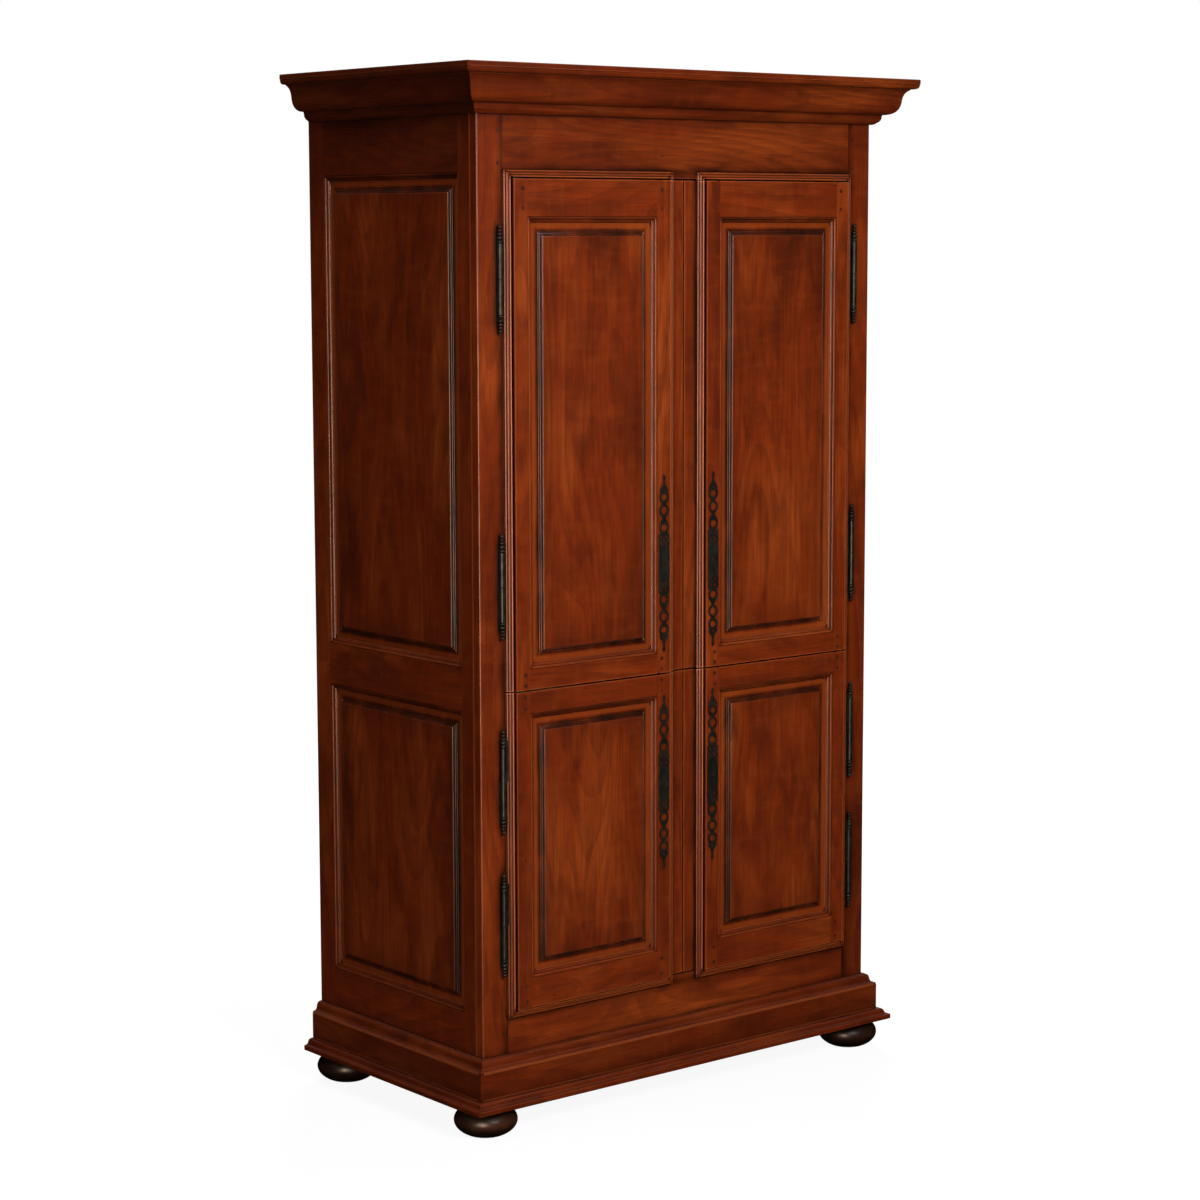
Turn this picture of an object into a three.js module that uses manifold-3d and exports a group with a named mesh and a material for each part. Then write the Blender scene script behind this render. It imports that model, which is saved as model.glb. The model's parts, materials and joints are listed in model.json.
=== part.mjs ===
// Armoire for a television: a tall frame-and-panel cabinet on bun feet. Two upper doors swing open
// and slide back into pockets beside the television space, and two hinged doors close the space below.
// Millimetres, +Z up. X runs to the right along the front, Y from the front to the back.
// Heights are measured from the floor, and depths from the front plane of the face frame.

import * as THREE from 'three';
import { mergeVertices } from 'three/addons/utils/BufferGeometryUtils.js';
import Module from 'manifold-3d';

const wasm = await Module();
wasm.setup();

// Driving dimensions
const carcaseWidth = 1060;
const carcaseDepth = 583;
const overallHeight = 2134;
const corniceHeight = 94;
const corniceOverhang = 77;
const plinthHeight = 103;
const footHeight = 58;
const footDiameter = 130;
const doorSplitHeight = 902;

// Clearances
const seatGap = 0.3;
const runningGap = 0.5;
const doorGap = 3;
const rebateGap = 2;
const overrun = 30;

// Face frame and side frames
const faceFrameThickness = 22;
const faceStileWidth = 75;
const bottomRailReveal = 88;
const topRailReveal = 122;
const cornerRadius = 3.5;
const sideThickness = 22;
const sideFrontStileWidth = 61;
const sideRearStileWidth = 54;
const sideBottomReveal = 84;
const sideTopReveal = 113;
const sideMidRailWidth = 87;
const sideMidRailHeight = 906.5;
const carcaseRise = 60;

// Boards inside and at the back
const topBoardThickness = 18;
const bottomBoardThickness = 22;
const deckThickness = 25;
const deckDrop = 2;
const shelfThickness = 20;
const shelfHeight = 570;
const shelfSetback = 60;
const cleatWidth = 18;
const cleatHeight = 30;
const backPanelThickness = 8;
const backPanelInset = 2;
const backRebateWidth = 10;
const cableSlotWidth = 180;
const cableSlotHeight = 70;
const cableSlotRise = 90;

// Cornice: the moulded face as shares of its overhang and height, from the carcase upwards
const corniceBackSetback = 11;
const corniceFaceShares = [
  [0.03, -0.017],
  [0.1, -0.015, 0.134, 0.021],
  [0.2, 0.05, 0.227, 0.102],
  [0.249, 0.201],
  [0.286, 0.203],
  [0.584, 0.207, 0.63, 0.484],
  [0.643, 0.702, 0.805, 0.766],
  [0.805, 0.779],
  [0.89, 0.782],
  [0.981, 0.789, 0.99, 0.878],
  [1, 0.894],
  [1, 0.984],
  [0.987, 1],
];

// Plinth: a ledge that carries the carcase, a plain base board on it and a moulded cap
const plinthOverhang = 23.4;
const ledgeOverhang = 46.6;
const ledgeThickness = 24.3;
const capHeight = 24;
const flangeWidth = 75;
const ledgeFaceShares = [
  [0.888, 0],
  [1, 0, 1, 0.14],
  [1, 0.4],
  [0.95, 0.46],
  [0.63, 0.47, 0.565, 0.7],
  [0.5, 0.97, 0.198, 1],
];
const capFaceShares = [
  [1, 0],
  [0.94, 0.03],
  [1.02, 0.09, 0.96, 0.14],
  [0.9, 0.17],
  [0.55, 0.2, 0.53, 0.54],
  [0.49, 0.92, 0.235, 0.96],
  [0.18, 1],
];

// Bun feet
const footFlatShare = 0.6;
const frontFootInset = 22;
const footSegments = 24;
const footRings = 8;

// Door leaves
const doorProud = 17;
const doorThickness = 30;
const lipWidth = 14;
const quirkWidth = 3;
const quirkFloor = 8;
const lipProud = 12;
const closingStripHalfWidth = 32.5;
const hingeStileWidth = 34.5;
const closingStileWidth = 36;
const upperTopRailWidth = 74;
const upperBottomRailWidth = 41.5;
const lowerTopRailWidth = 44.5;
const lowerBottomRailWidth = 62;
const returnDrop = 1;

// The lip moulding as shares of its width and projection, from its inner edge outwards
const lipFaceShares = [
  [0, 0.8],
  [0, 1, 0.12, 1],
  [0.23, 1, 0.24, 0.8],
  [0.27, 0.72],
  [0.3, 0.87, 0.46, 0.87],
  [0.66, 0.85, 0.7, 0.62],
  [0.735, 0.52],
  [0.76, 0.6, 0.86, 0.6],
  [0.99, 0.58, 1, 0.42],
];

// Panels and the moulded inner edge of every frame
const stickingWidth = 12;
const stickingDepth = 9.7;
const marginWidth = 16.5;
const shoulderWidth = 13;
const fieldDrop = 2;
const tongueThickness = 8;
const tongueLength = 7;
const tongueRelief = 1;
const stickingFaceShares = [
  [0, 0],
  [0.03, 0.18],
  [0.06, 0.06, 0.21, 0.07],
  [0.4, 0.08, 0.44, 0.3],
  [0.47, 0.42],
  [0.55, 0.4],
  [0.86, 0.42, 0.96, 0.8],
  [1, 1],
];
const shoulderFaceShares = [
  [0, 0],
  [0.03, 0.2],
  [0.05, 0.34, 0.15, 0.34],
  [0.21, 0.26],
  [0.44, 0.3, 0.47, 0.66],
  [0.49, 0.8],
  [0.6, 0.84],
  [0.66, 0.78],
  [0.72, 1, 1, 1],
];

// Barrel hinges: the half barrel as shares of its ring radius and half length, from its tip
const hingeLength = 216;
const hingeRingRadius = 6.5;
const hingeAxisFromOpening = 25;
const hingeAxisProud = 8;
const hingePinRadius = 3;
const hingePinLength = 30;
const hingeLeafThickness = 2.5;
const hingeLeafInset = 12;
const hingeSplitDepth = 0.8;
const hingeSplitHeight = 1;
const hingeSegments = 10;
const hingePlateThickness = 1;
const hingePlateReach = 6;
const upperHingePlaceShares = [0.807, 0.208];
const lowerHingePlaceShares = [0.725, 0.274];
const hingeBarrelShare = 0.846;
const hingeTipShares = [
  [0, 0],
  [0.38, 0.012],
  [0.5, 0.035],
  [0.34, 0.062],
  [0.34, 0.078],
  [0.72, 0.095],
  [0.72, 0.125],
  [0.5, 0.15],
  [0.95, 0.17],
  [1, 0.19],
  [0.95, 0.21],
  [0.846, 0.225],
];

// Escutcheons: half widths and pierced eyes as shares of the width and of the half length
const escutcheonLength = 367;
const escutcheonWidth = 28;
const ironThickness = 1.7;
const upperEscutcheonMargin = 46;
const lowerEscutcheonMargin = 45;
const escutcheonEdgeShares = [
  [0.5, 0],
  [0.5, 0.177],
  [0.43, 0.19],
  [0.5, 0.21],
  [0.5, 0.325],
  [0.3, 0.345],
  [0.37, 0.375],
  [0.43, 0.42],
  [0.38, 0.47],
  [0.12, 0.515],
  [0.33, 0.55],
  [0.43, 0.6],
  [0.33, 0.65],
  [0.14, 0.68],
  [0.3, 0.7],
  [0.41, 0.74],
  [0.37, 0.785],
  [0.28, 0.83],
  [0.25, 0.87],
  [0.15, 0.92],
  [0.06, 0.94],
  [0.11, 0.96],
  [0.1, 0.985],
  [0.03, 1],
];
const eyePlaceShares = [0.42, 0.6, 0.735, 0.865];
const eyeWidthShares = [0.3, 0.3, 0.26, 0.12];
const eyeHeightShares = [0.044, 0.044, 0.032, 0.03];
const eyeSegments = 10;
const keyholeRadius = 3;
const keyholeSlotWidth = 2.6;
const keyholeSlotLength = 9;

// Pocket gear of the upper doors
const pivotInset = 6;
const pivotPinRadius = 2;
const pivotPinLength = 10;
const pivotHoleClearance = 0.4;
const pivotSegments = 12;
const bracketThickness = 2;
const bracketWidth = 12;
const followerWidth = 20;
const followerDepth = 18;
const followerClearance = 2;
const runnerHeight = 40;
const runnerFrontGap = 2;
const grooveDepth = 15;
const grooveHeight = 16;
const armLength = 91;
const armThickness = 12;
const armShoeLength = 60;

// Number of straight steps in each curved stretch of a moulding
const curveSteps = 3;

// Places that follow from the sizes above
const halfWidth = carcaseWidth / 2;
const openingHalf = halfWidth - faceStileWidth;
const carcaseTop = overallHeight - corniceHeight;
const carcaseEnd = carcaseTop + carcaseRise;
const capTop = footHeight + plinthHeight;
const carcaseStart = footHeight + ledgeThickness + seatGap;
const openingBottom = capTop + bottomRailReveal;
const openingTop = carcaseTop - topRailReveal;
const sideInner = halfWidth - sideThickness;
const backPlane = carcaseDepth - backPanelInset - backPanelThickness;
const deckTop = doorSplitHeight - deckDrop;
const leafBack = doorThickness - doorProud;
const faceEdge = closingStripHalfWidth + lipWidth + quirkWidth;
const leafHingeEdge = openingHalf - doorGap;

// Colours
const frontWood = '#6f2b14';
const panelWood = '#6a2812';
const sideWood = '#4a1d10';
const mouldingWood = '#66270f';
const footWood = '#32190f';
const innerWood = '#7a4526';
const backWood = '#5d3d27';
const blackIron = '#1d201e';
const greyIron = '#2e2e2b';

function wood(color) {
  return new THREE.MeshStandardMaterial({ color, roughness: 0.42, metalness: 0 });
}

function iron(color) {
  return new THREE.MeshStandardMaterial({ color, roughness: 0.48, metalness: 0.85 });
}

const armoire = new THREE.Group();
armoire.position.y = (corniceOverhang - carcaseDepth) / 2;

function place(name, geometry, material, group = armoire) {
  const mesh = new THREE.Mesh(geometry, material);
  mesh.name = name;
  group.add(mesh);
  return mesh;
}

function merged(geometry) {
  const bare = geometry.clone();
  bare.deleteAttribute('normal');
  bare.deleteAttribute('uv');
  return mergeVertices(bare);
}

function toSolid(geometry) {
  const bare = merged(geometry);
  const vertProperties = new Float32Array(bare.attributes.position.array);
  const triVerts = new Uint32Array(bare.index.array);
  return new wasm.Manifold(new wasm.Mesh({ numProp: 3, vertProperties, triVerts }));
}

function toGeometry(solid) {
  const mesh = solid.getMesh();
  const geometry = new THREE.BufferGeometry();
  geometry.setAttribute('position', new THREE.BufferAttribute(new Float32Array(mesh.vertProperties), 3));
  geometry.setIndex(new THREE.BufferAttribute(new Uint32Array(mesh.triVerts), 1));
  return geometry;
}

function joined(...geometries) {
  return toGeometry(geometries.map(toSolid).reduce((whole, piece) => whole.add(piece)));
}

function cutBy(geometry, ...tools) {
  return toGeometry(tools.map(toSolid).reduce((whole, tool) => whole.subtract(tool), toSolid(geometry)));
}

function common(geometry, other) {
  return toGeometry(toSolid(geometry).intersect(toSolid(other)));
}

// A box between two corners
function block([x0, x1], [y0, y1], [z0, z1]) {
  const box = new THREE.BoxGeometry(x1 - x0, y1 - y0, z1 - z0);
  box.translate((x0 + x1) / 2, (y0 + y1) / 2, (z0 + z1) / 2);
  return box;
}

// The same piece on the other side of the cabinet, with its faces turned back outwards
function mirrored(geometry) {
  const twin = merged(geometry);
  twin.scale(-1, 1, 1);
  const index = twin.index.array;
  for (let i = 0; i < index.length; i += 3) {
    [index[i], index[i + 1]] = [index[i + 1], index[i]];
  }
  return twin;
}

// Moulding outline from a table of shares: two numbers make a line, four a curve through a control point
function outline(shares, width, height) {
  const path = new THREE.Path();
  shares.forEach((step, place) => {
    const [a, b, c, d] = step.map((share, axis) => share * (axis % 2 ? height : width));
    if (place === 0) {
      path.moveTo(a, b);
    } else if (step.length === 2) {
      path.lineTo(a, b);
    } else {
      path.quadraticCurveTo(a, b, c, d);
    }
  });
  return path.getPoints(curveSteps);
}

// Closed body through stations that all hold the same outline, with a cap at each end
function loft(stations, capFaces) {
  const count = stations[0].length;
  const positions = stations.flat().flatMap((point) => point.toArray());
  const index = [];
  for (let station = 0; station < stations.length - 1; station += 1) {
    for (let i = 0; i < count; i += 1) {
      const a = station * count + i;
      const b = station * count + ((i + 1) % count);
      index.push(a, b, b + count, a, b + count, a + count);
    }
  }
  const last = (stations.length - 1) * count;
  capFaces.forEach(([a, b, c]) => {
    index.push(a, c, b, last + a, last + b, last + c);
  });
  const geometry = new THREE.BufferGeometry();
  geometry.setAttribute('position', new THREE.Float32BufferAttribute(positions, 3));
  geometry.setIndex(index);
  return facingOut(geometry);
}

// Turns all faces round where the body was wound inside out
function facingOut(geometry) {
  const points = geometry.attributes.position;
  const index = geometry.index.array;
  const [a, b, c] = [new THREE.Vector3(), new THREE.Vector3(), new THREE.Vector3()];
  let volume = 0;
  for (let i = 0; i < index.length; i += 3) {
    a.fromBufferAttribute(points, index[i]);
    b.fromBufferAttribute(points, index[i + 1]);
    c.fromBufferAttribute(points, index[i + 2]);
    volume += a.dot(b.cross(c));
  }
  if (volume < 0) {
    for (let i = 0; i < index.length; i += 3) {
      [index[i], index[i + 1]] = [index[i + 1], index[i]];
    }
  }
  return geometry;
}

// Straight or mitred run of a section: toPoint places a section point (out, height) at each station
function run(section, ...toPoint) {
  const facing = THREE.ShapeUtils.isClockWise(section) ? [...section].reverse() : section;
  const stations = toPoint.map((at) => facing.map((point) => at(point.x, point.y)));
  return loft(stations, THREE.ShapeUtils.triangulateShape(facing, []));
}

// Flat shape in X and Z, given a thickness from front to back
function upright(shape, front, thickness) {
  const settings = { depth: thickness, bevelEnabled: false, curveSegments: curveSteps };
  const geometry = new THREE.ExtrudeGeometry(shape, settings);
  geometry.rotateX(Math.PI / 2);
  geometry.translate(0, front + thickness, 0);
  return geometry;
}

// Flat shape in X and Y, given a height
function level(shape, bottom, height) {
  const settings = { depth: height, bevelEnabled: false, curveSegments: curveSteps };
  const geometry = new THREE.ExtrudeGeometry(shape, settings);
  geometry.translate(0, 0, bottom);
  return geometry;
}

function polygon(points) {
  return new THREE.Shape(points.map(([x, y]) => new THREE.Vector2(x, y)));
}

// A rectangle drawn in step by step, each step an inset and a depth: mitred mouldings and raised panels
function rings({ left, right, bottom, top }, steps) {
  const stations = steps.map(([inset, depth]) => [
    new THREE.Vector3(left + inset, depth, bottom + inset),
    new THREE.Vector3(right - inset, depth, bottom + inset),
    new THREE.Vector3(right - inset, depth, top - inset),
    new THREE.Vector3(left + inset, depth, top - inset),
  ]);
  return loft(stations, [[0, 1, 2], [0, 2, 3]]);
}

// What a framed panel takes out of its frame: the moulded edge, the daylight behind it and the groove
function panelOpening(rectangle, face, back) {
  const moulded = outline(stickingFaceShares, stickingWidth, stickingDepth);
  const steps = moulded.map((point) => [point.x, face + point.y]);
  const daylight = rings(rectangle, [[0, face - overrun], ...steps, [stickingWidth, back + overrun]]);
  const grooveInset = stickingWidth - tongueLength - tongueRelief;
  const grooveFront = face + stickingDepth;
  const grooveBack = grooveFront + tongueThickness + 2 * seatGap;
  const groove = rings(rectangle, [[grooveInset, grooveFront], [grooveInset, grooveBack]]);
  return [daylight, groove];
}

// Raised panel: a tongue all round, a flat margin, a moulded shoulder and the field
function raisedPanel(rectangle, face) {
  const marginDepth = face + stickingDepth + seatGap;
  const rise = marginDepth - face - fieldDrop;
  const tongueInset = stickingWidth - tongueLength;
  const shoulderStart = stickingWidth + marginWidth;
  const shoulder = outline(shoulderFaceShares, shoulderWidth, rise);
  const steps = shoulder.map((point) => [shoulderStart + point.x, marginDepth - point.y]);
  const tongue = [[tongueInset, marginDepth + tongueThickness], [tongueInset, marginDepth]];
  return rings(rectangle, [...tongue, ...steps]);
}

// Side of the cabinet: stiles and rails round two raised panels, drawn facing front and turned to the left
const sideFace = -halfWidth;
const sideFrontY = faceFrameThickness + seatGap;
const sideSpan = { left: -(carcaseDepth - sideRearStileWidth), right: -sideFrontStileWidth };
const sidePanelRectangles = {
  upper: { ...sideSpan, bottom: sideMidRailHeight + sideMidRailWidth / 2, top: carcaseTop - sideTopReveal },
  lower: { ...sideSpan, bottom: capTop + sideBottomReveal, top: sideMidRailHeight - sideMidRailWidth / 2 },
};

function turnedLeft(geometry) {
  const turned = merged(geometry);
  turned.rotateZ(-Math.PI / 2);
  return turned;
}

function sideFrame() {
  const blank = block(
    [-carcaseDepth, -sideFrontY],
    [sideFace, sideFace + sideThickness],
    [carcaseStart, carcaseEnd],
  );
  const openings = Object.values(sidePanelRectangles)
    .flatMap((rectangle) => panelOpening(rectangle, sideFace, sideFace + sideThickness));
  const rebate = block(
    [-carcaseDepth - overrun, -backPlane + seatGap],
    [sideFace + sideThickness - backRebateWidth, sideFace + sideThickness + overrun],
    [carcaseStart - overrun, carcaseEnd + overrun],
  );
  return turnedLeft(cutBy(blank, ...openings, rebate));
}

const leftSide = sideFrame();
place('side_frame_left', leftSide, wood(sideWood));
place('side_frame_right', mirrored(leftSide), wood(sideWood));
Object.entries(sidePanelRectangles).forEach(([tier, rectangle]) => {
  const panel = turnedLeft(raisedPanel(rectangle, sideFace));
  place(`side_panel_left_${tier}`, panel, wood(sideWood));
  place(`side_panel_right_${tier}`, mirrored(panel), wood(sideWood));
});

// Face frame: two stiles with a softened outer edge, and the rails between them
function faceStile() {
  const plan = new THREE.Shape();
  plan.moveTo(-openingHalf, 0);
  plan.lineTo(-openingHalf, faceFrameThickness);
  plan.lineTo(-halfWidth, faceFrameThickness);
  plan.lineTo(-halfWidth, cornerRadius);
  plan.absarc(cornerRadius - halfWidth, cornerRadius, cornerRadius, Math.PI, Math.PI * 1.5, false);
  return level(plan, carcaseStart, carcaseEnd - carcaseStart);
}

const leftStile = faceStile();
place('face_stile_left', leftStile, wood(frontWood));
place('face_stile_right', mirrored(leftStile), wood(frontWood));
const railSpan = [seatGap - openingHalf, openingHalf - seatGap];
const frameDepth = [0, faceFrameThickness];
place('face_rail_top', block(railSpan, frameDepth, [openingTop, carcaseEnd]), wood(frontWood));
place('face_rail_bottom', block(railSpan, frameDepth, [carcaseStart, openingBottom]), wood(frontWood));

// Cornice: three mitred runs planted on the carcase
const corniceFace = outline(corniceFaceShares, corniceOverhang, corniceHeight);
const corniceStart = corniceFace[0].y;
const corniceSection = [
  new THREE.Vector2(seatGap, corniceStart),
  ...corniceFace,
  new THREE.Vector2(seatGap, corniceHeight),
];
const corniceEnd = carcaseDepth - corniceBackSetback;
place('cornice_front', run(
  corniceSection,
  (out, height) => new THREE.Vector3(seatGap - halfWidth - out, -out, carcaseTop + height),
  (out, height) => new THREE.Vector3(halfWidth + out - seatGap, -out, carcaseTop + height),
), wood(mouldingWood));
const leftCornice = run(
  corniceSection,
  (out, height) => new THREE.Vector3(-halfWidth - out, -out, carcaseTop + height),
  (out, height) => new THREE.Vector3(-halfWidth - out, corniceEnd, carcaseTop + height),
);
place('cornice_left', leftCornice, wood(mouldingWood));
place('cornice_right', mirrored(leftCornice), wood(mouldingWood));

// Plinth: three mitred runs, each with a flange under the carcase that carries it and takes the feet
const ledgeFace = outline(ledgeFaceShares, ledgeOverhang - plinthOverhang, ledgeThickness)
  .map((point) => new THREE.Vector2(plinthOverhang + point.x, point.y));
const capFace = outline(capFaceShares, plinthOverhang, capHeight)
  .map((point) => new THREE.Vector2(point.x, plinthHeight - capHeight + point.y));
const plinthSection = [
  ...ledgeFace,
  new THREE.Vector2(plinthOverhang, ledgeThickness),
  ...capFace,
  new THREE.Vector2(seatGap, plinthHeight),
  new THREE.Vector2(seatGap, ledgeThickness),
  new THREE.Vector2(-flangeWidth, ledgeThickness),
  new THREE.Vector2(-flangeWidth, 0),
];
place('plinth_front', run(
  plinthSection,
  (out, height) => new THREE.Vector3(seatGap - halfWidth - out, -out, footHeight + height),
  (out, height) => new THREE.Vector3(halfWidth + out - seatGap, -out, footHeight + height),
), wood(mouldingWood));
const leftPlinth = run(
  plinthSection,
  (out, height) => new THREE.Vector3(-halfWidth - out, -out, footHeight + height),
  (out, height) => new THREE.Vector3(-halfWidth - out, carcaseDepth, footHeight + height),
);
place('plinth_left', leftPlinth, wood(mouldingWood));
place('plinth_right', mirrored(leftPlinth), wood(mouldingWood));

// Bun feet: flattened balls with a flat sole and a flat seat
function bunFoot() {
  const radius = footDiameter / 2;
  const height = footHeight - seatGap;
  const reach = Math.acos(footFlatShare);
  const profile = [new THREE.Vector2(0, 0)];
  for (let i = 0; i <= footRings; i += 1) {
    const turn = reach * (2 * i / footRings - 1);
    const rise = height / 2 * (1 + Math.sin(turn) / Math.sin(reach));
    profile.push(new THREE.Vector2(radius * Math.cos(turn), rise));
  }
  profile.push(new THREE.Vector2(0, height));
  return upLathe(profile, footSegments);
}

// Turned piece with its axis upright
function upLathe(profile, segments) {
  const turned = new THREE.LatheGeometry(profile, segments);
  turned.rotateX(Math.PI / 2);
  return toGeometry(toSolid(facingOut(merged(turned))));
}

const footX = halfWidth - frontFootInset;
const rearFootY = carcaseDepth - footDiameter / 2;
[['front', frontFootInset], ['rear', rearFootY]].forEach(([end, depth]) => {
  [['left', -footX], ['right', footX]].forEach(([side, across]) => {
    const foot = place(`foot_${end}_${side}`, bunFoot(), wood(footWood));
    foot.position.set(across, depth, 0);
  });
});

// Boards inside the carcase
const boardSpan = [seatGap - sideInner, sideInner - seatGap];
const boardDepth = [faceFrameThickness + seatGap, backPlane];
place('bottom_board', block(
  boardSpan,
  boardDepth,
  [openingBottom - bottomBoardThickness, openingBottom],
), wood(innerWood));
place('top_board', block(
  [-halfWidth, halfWidth],
  [0, carcaseDepth],
  [carcaseEnd + seatGap, carcaseEnd + seatGap + topBoardThickness],
), wood(innerWood));

// Television deck, its front edge brought forward between the face stiles
const deckFront = leafBack + doorGap;
const deckPlan = polygon([
  [leafHingeEdge, deckFront],
  [leafHingeEdge, boardDepth[0]],
  [boardSpan[1], boardDepth[0]],
  [boardSpan[1], backPlane],
  [boardSpan[0], backPlane],
  [boardSpan[0], boardDepth[0]],
  [-leafHingeEdge, boardDepth[0]],
  [-leafHingeEdge, deckFront],
]);
place('tv_deck', level(deckPlan, deckTop - deckThickness, deckThickness), wood(innerWood));

const shelfDepth = [shelfSetback, backPlane - seatGap];
const shelfHeights = [shelfHeight, shelfHeight + shelfThickness];
place('lower_shelf', block(boardSpan, shelfDepth, shelfHeights), wood(innerWood));
const leftCleat = block(
  [seatGap - sideInner, seatGap - sideInner + cleatWidth],
  shelfDepth,
  [shelfHeight - seatGap - cleatHeight, shelfHeight - seatGap],
);
place('shelf_cleat_left', leftCleat, wood(innerWood));
place('shelf_cleat_right', mirrored(leftCleat), wood(innerWood));

// Back in two panels, the upper one with a slot for cables
const backHalf = sideInner + backRebateWidth - seatGap;
function backPanel(bottom, top) {
  return polygon([[-backHalf, bottom], [backHalf, bottom], [backHalf, top], [-backHalf, top]]);
}

const upperBack = backPanel(deckTop + seatGap, carcaseEnd);
const slotEnd = (cableSlotWidth - cableSlotHeight) / 2;
const slotHeight = deckTop + cableSlotRise;
const cableSlot = new THREE.Path();
cableSlot.absarc(slotEnd, slotHeight, cableSlotHeight / 2, -Math.PI / 2, Math.PI / 2, false);
cableSlot.absarc(-slotEnd, slotHeight, cableSlotHeight / 2, Math.PI / 2, Math.PI * 1.5, false);
upperBack.holes.push(cableSlot);
place('back_panel_upper', upright(upperBack, backPlane + seatGap, backPanelThickness), wood(backWood));
const lowerBack = backPanel(carcaseStart, deckTop);
place('back_panel_lower', upright(lowerBack, backPlane + seatGap, backPanelThickness), wood(backWood));

// Moulding planted round the upper doors: up the stile, along the top rail and a short return at the centre
const lipFace = outline(lipFaceShares, lipWidth, lipProud);
const lipSection = [
  new THREE.Vector2(0, seatGap),
  ...lipFace,
  new THREE.Vector2(lipWidth, seatGap),
];
const centreEdge = closingStripHalfWidth + lipWidth;
const leftSurround = run(
  lipSection,
  (across, proud) => new THREE.Vector3(-openingHalf - across, -proud, doorSplitHeight + doorGap / 2),
  (across, proud) => new THREE.Vector3(-openingHalf - across, -proud, openingTop + across),
  (across, proud) => new THREE.Vector3(across - centreEdge, -proud, openingTop + across),
  (across, proud) => new THREE.Vector3(across - centreEdge, -proud, openingTop - returnDrop),
);
place('surround_moulding_left', leftSurround, wood(mouldingWood));
place('surround_moulding_right', mirrored(leftSurround), wood(mouldingWood));

// Door leaves. The moulded lip is a rectangle drawn in from its outer edge to the quirk and up to the face;
// it is trimmed where the leaf has a plain edge.
const lowerLipEdge = openingHalf + lipWidth;
const lipSteps = [
  [0, -runningGap],
  ...[...lipFace].reverse().map((point) => [lipWidth - point.x, -point.y]),
  [lipWidth, -quirkFloor],
  [lipWidth + quirkWidth, -quirkFloor],
  [lipWidth + quirkWidth, -doorProud],
];
const tiers = {
  upper: {
    bottom: doorSplitHeight + doorGap / 2,
    top: openingTop - doorGap,
    lipLeft: -leafHingeEdge - overrun,
    lipBottom: doorSplitHeight - overrun,
    trimLeft: -leafHingeEdge,
    trimBottom: doorSplitHeight + doorGap / 2,
    slabLeft: -leafHingeEdge,
    slabBottom: doorSplitHeight + doorGap / 2,
    topRail: upperTopRailWidth,
    bottomRail: upperBottomRailWidth,
    faceBottom: doorSplitHeight + doorGap / 2,
    escutcheonHeight: doorSplitHeight + upperEscutcheonMargin + escutcheonLength / 2,
  },
  lower: {
    bottom: openingBottom + rebateGap,
    top: doorSplitHeight - doorGap / 2,
    lipLeft: -lowerLipEdge,
    lipBottom: openingBottom - lipWidth,
    trimLeft: -lowerLipEdge - overrun,
    trimBottom: openingBottom - lipWidth - overrun,
    slabLeft: rebateGap - openingHalf,
    slabBottom: openingBottom + rebateGap,
    topRail: lowerTopRailWidth,
    bottomRail: lowerBottomRailWidth,
    faceBottom: openingBottom + quirkWidth,
    escutcheonHeight: doorSplitHeight - lowerEscutcheonMargin - escutcheonLength / 2,
  },
};

function panelRectangle(tier) {
  return {
    left: hingeStileWidth - leafHingeEdge,
    right: -faceEdge - closingStileWidth,
    bottom: tier.faceBottom + tier.bottomRail,
    top: tier.top - tier.topRail,
  };
}

function leafBlank(tier) {
  const lipRectangle = {
    left: tier.lipLeft,
    right: -closingStripHalfWidth,
    bottom: tier.lipBottom,
    top: tier.top + overrun,
  };
  const moulded = rings(lipRectangle, lipSteps);
  const limits = block(
    [tier.trimLeft, 0],
    [-doorProud - overrun, overrun],
    [tier.trimBottom, tier.top],
  );
  const slabHeights = [tier.slabBottom, tier.top];
  const core = block([tier.slabLeft, -closingStripHalfWidth], [-quirkFloor / 2, leafBack], slabHeights);
  const slab = block([tier.slabLeft, -doorGap / 2], [0, leafBack], slabHeights);
  return joined(common(moulded, limits), core, slab);
}

// Pivot of the upper leaves: holes in the top and bottom edges for the carriage's pins
const pivotX = leafHingeEdge - pivotInset;
const pivotY = pivotInset - doorProud;
function pivotRod(radius, bottom, height) {
  const rod = new THREE.CylinderGeometry(radius, radius, height, pivotSegments);
  rod.rotateX(Math.PI / 2);
  rod.translate(-pivotX, pivotY, bottom + height / 2);
  return rod;
}

function pivotHole(edge) {
  const reach = pivotPinLength + doorGap;
  return pivotRod(pivotPinRadius + pivotHoleClearance, edge - reach, 2 * reach);
}

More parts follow.
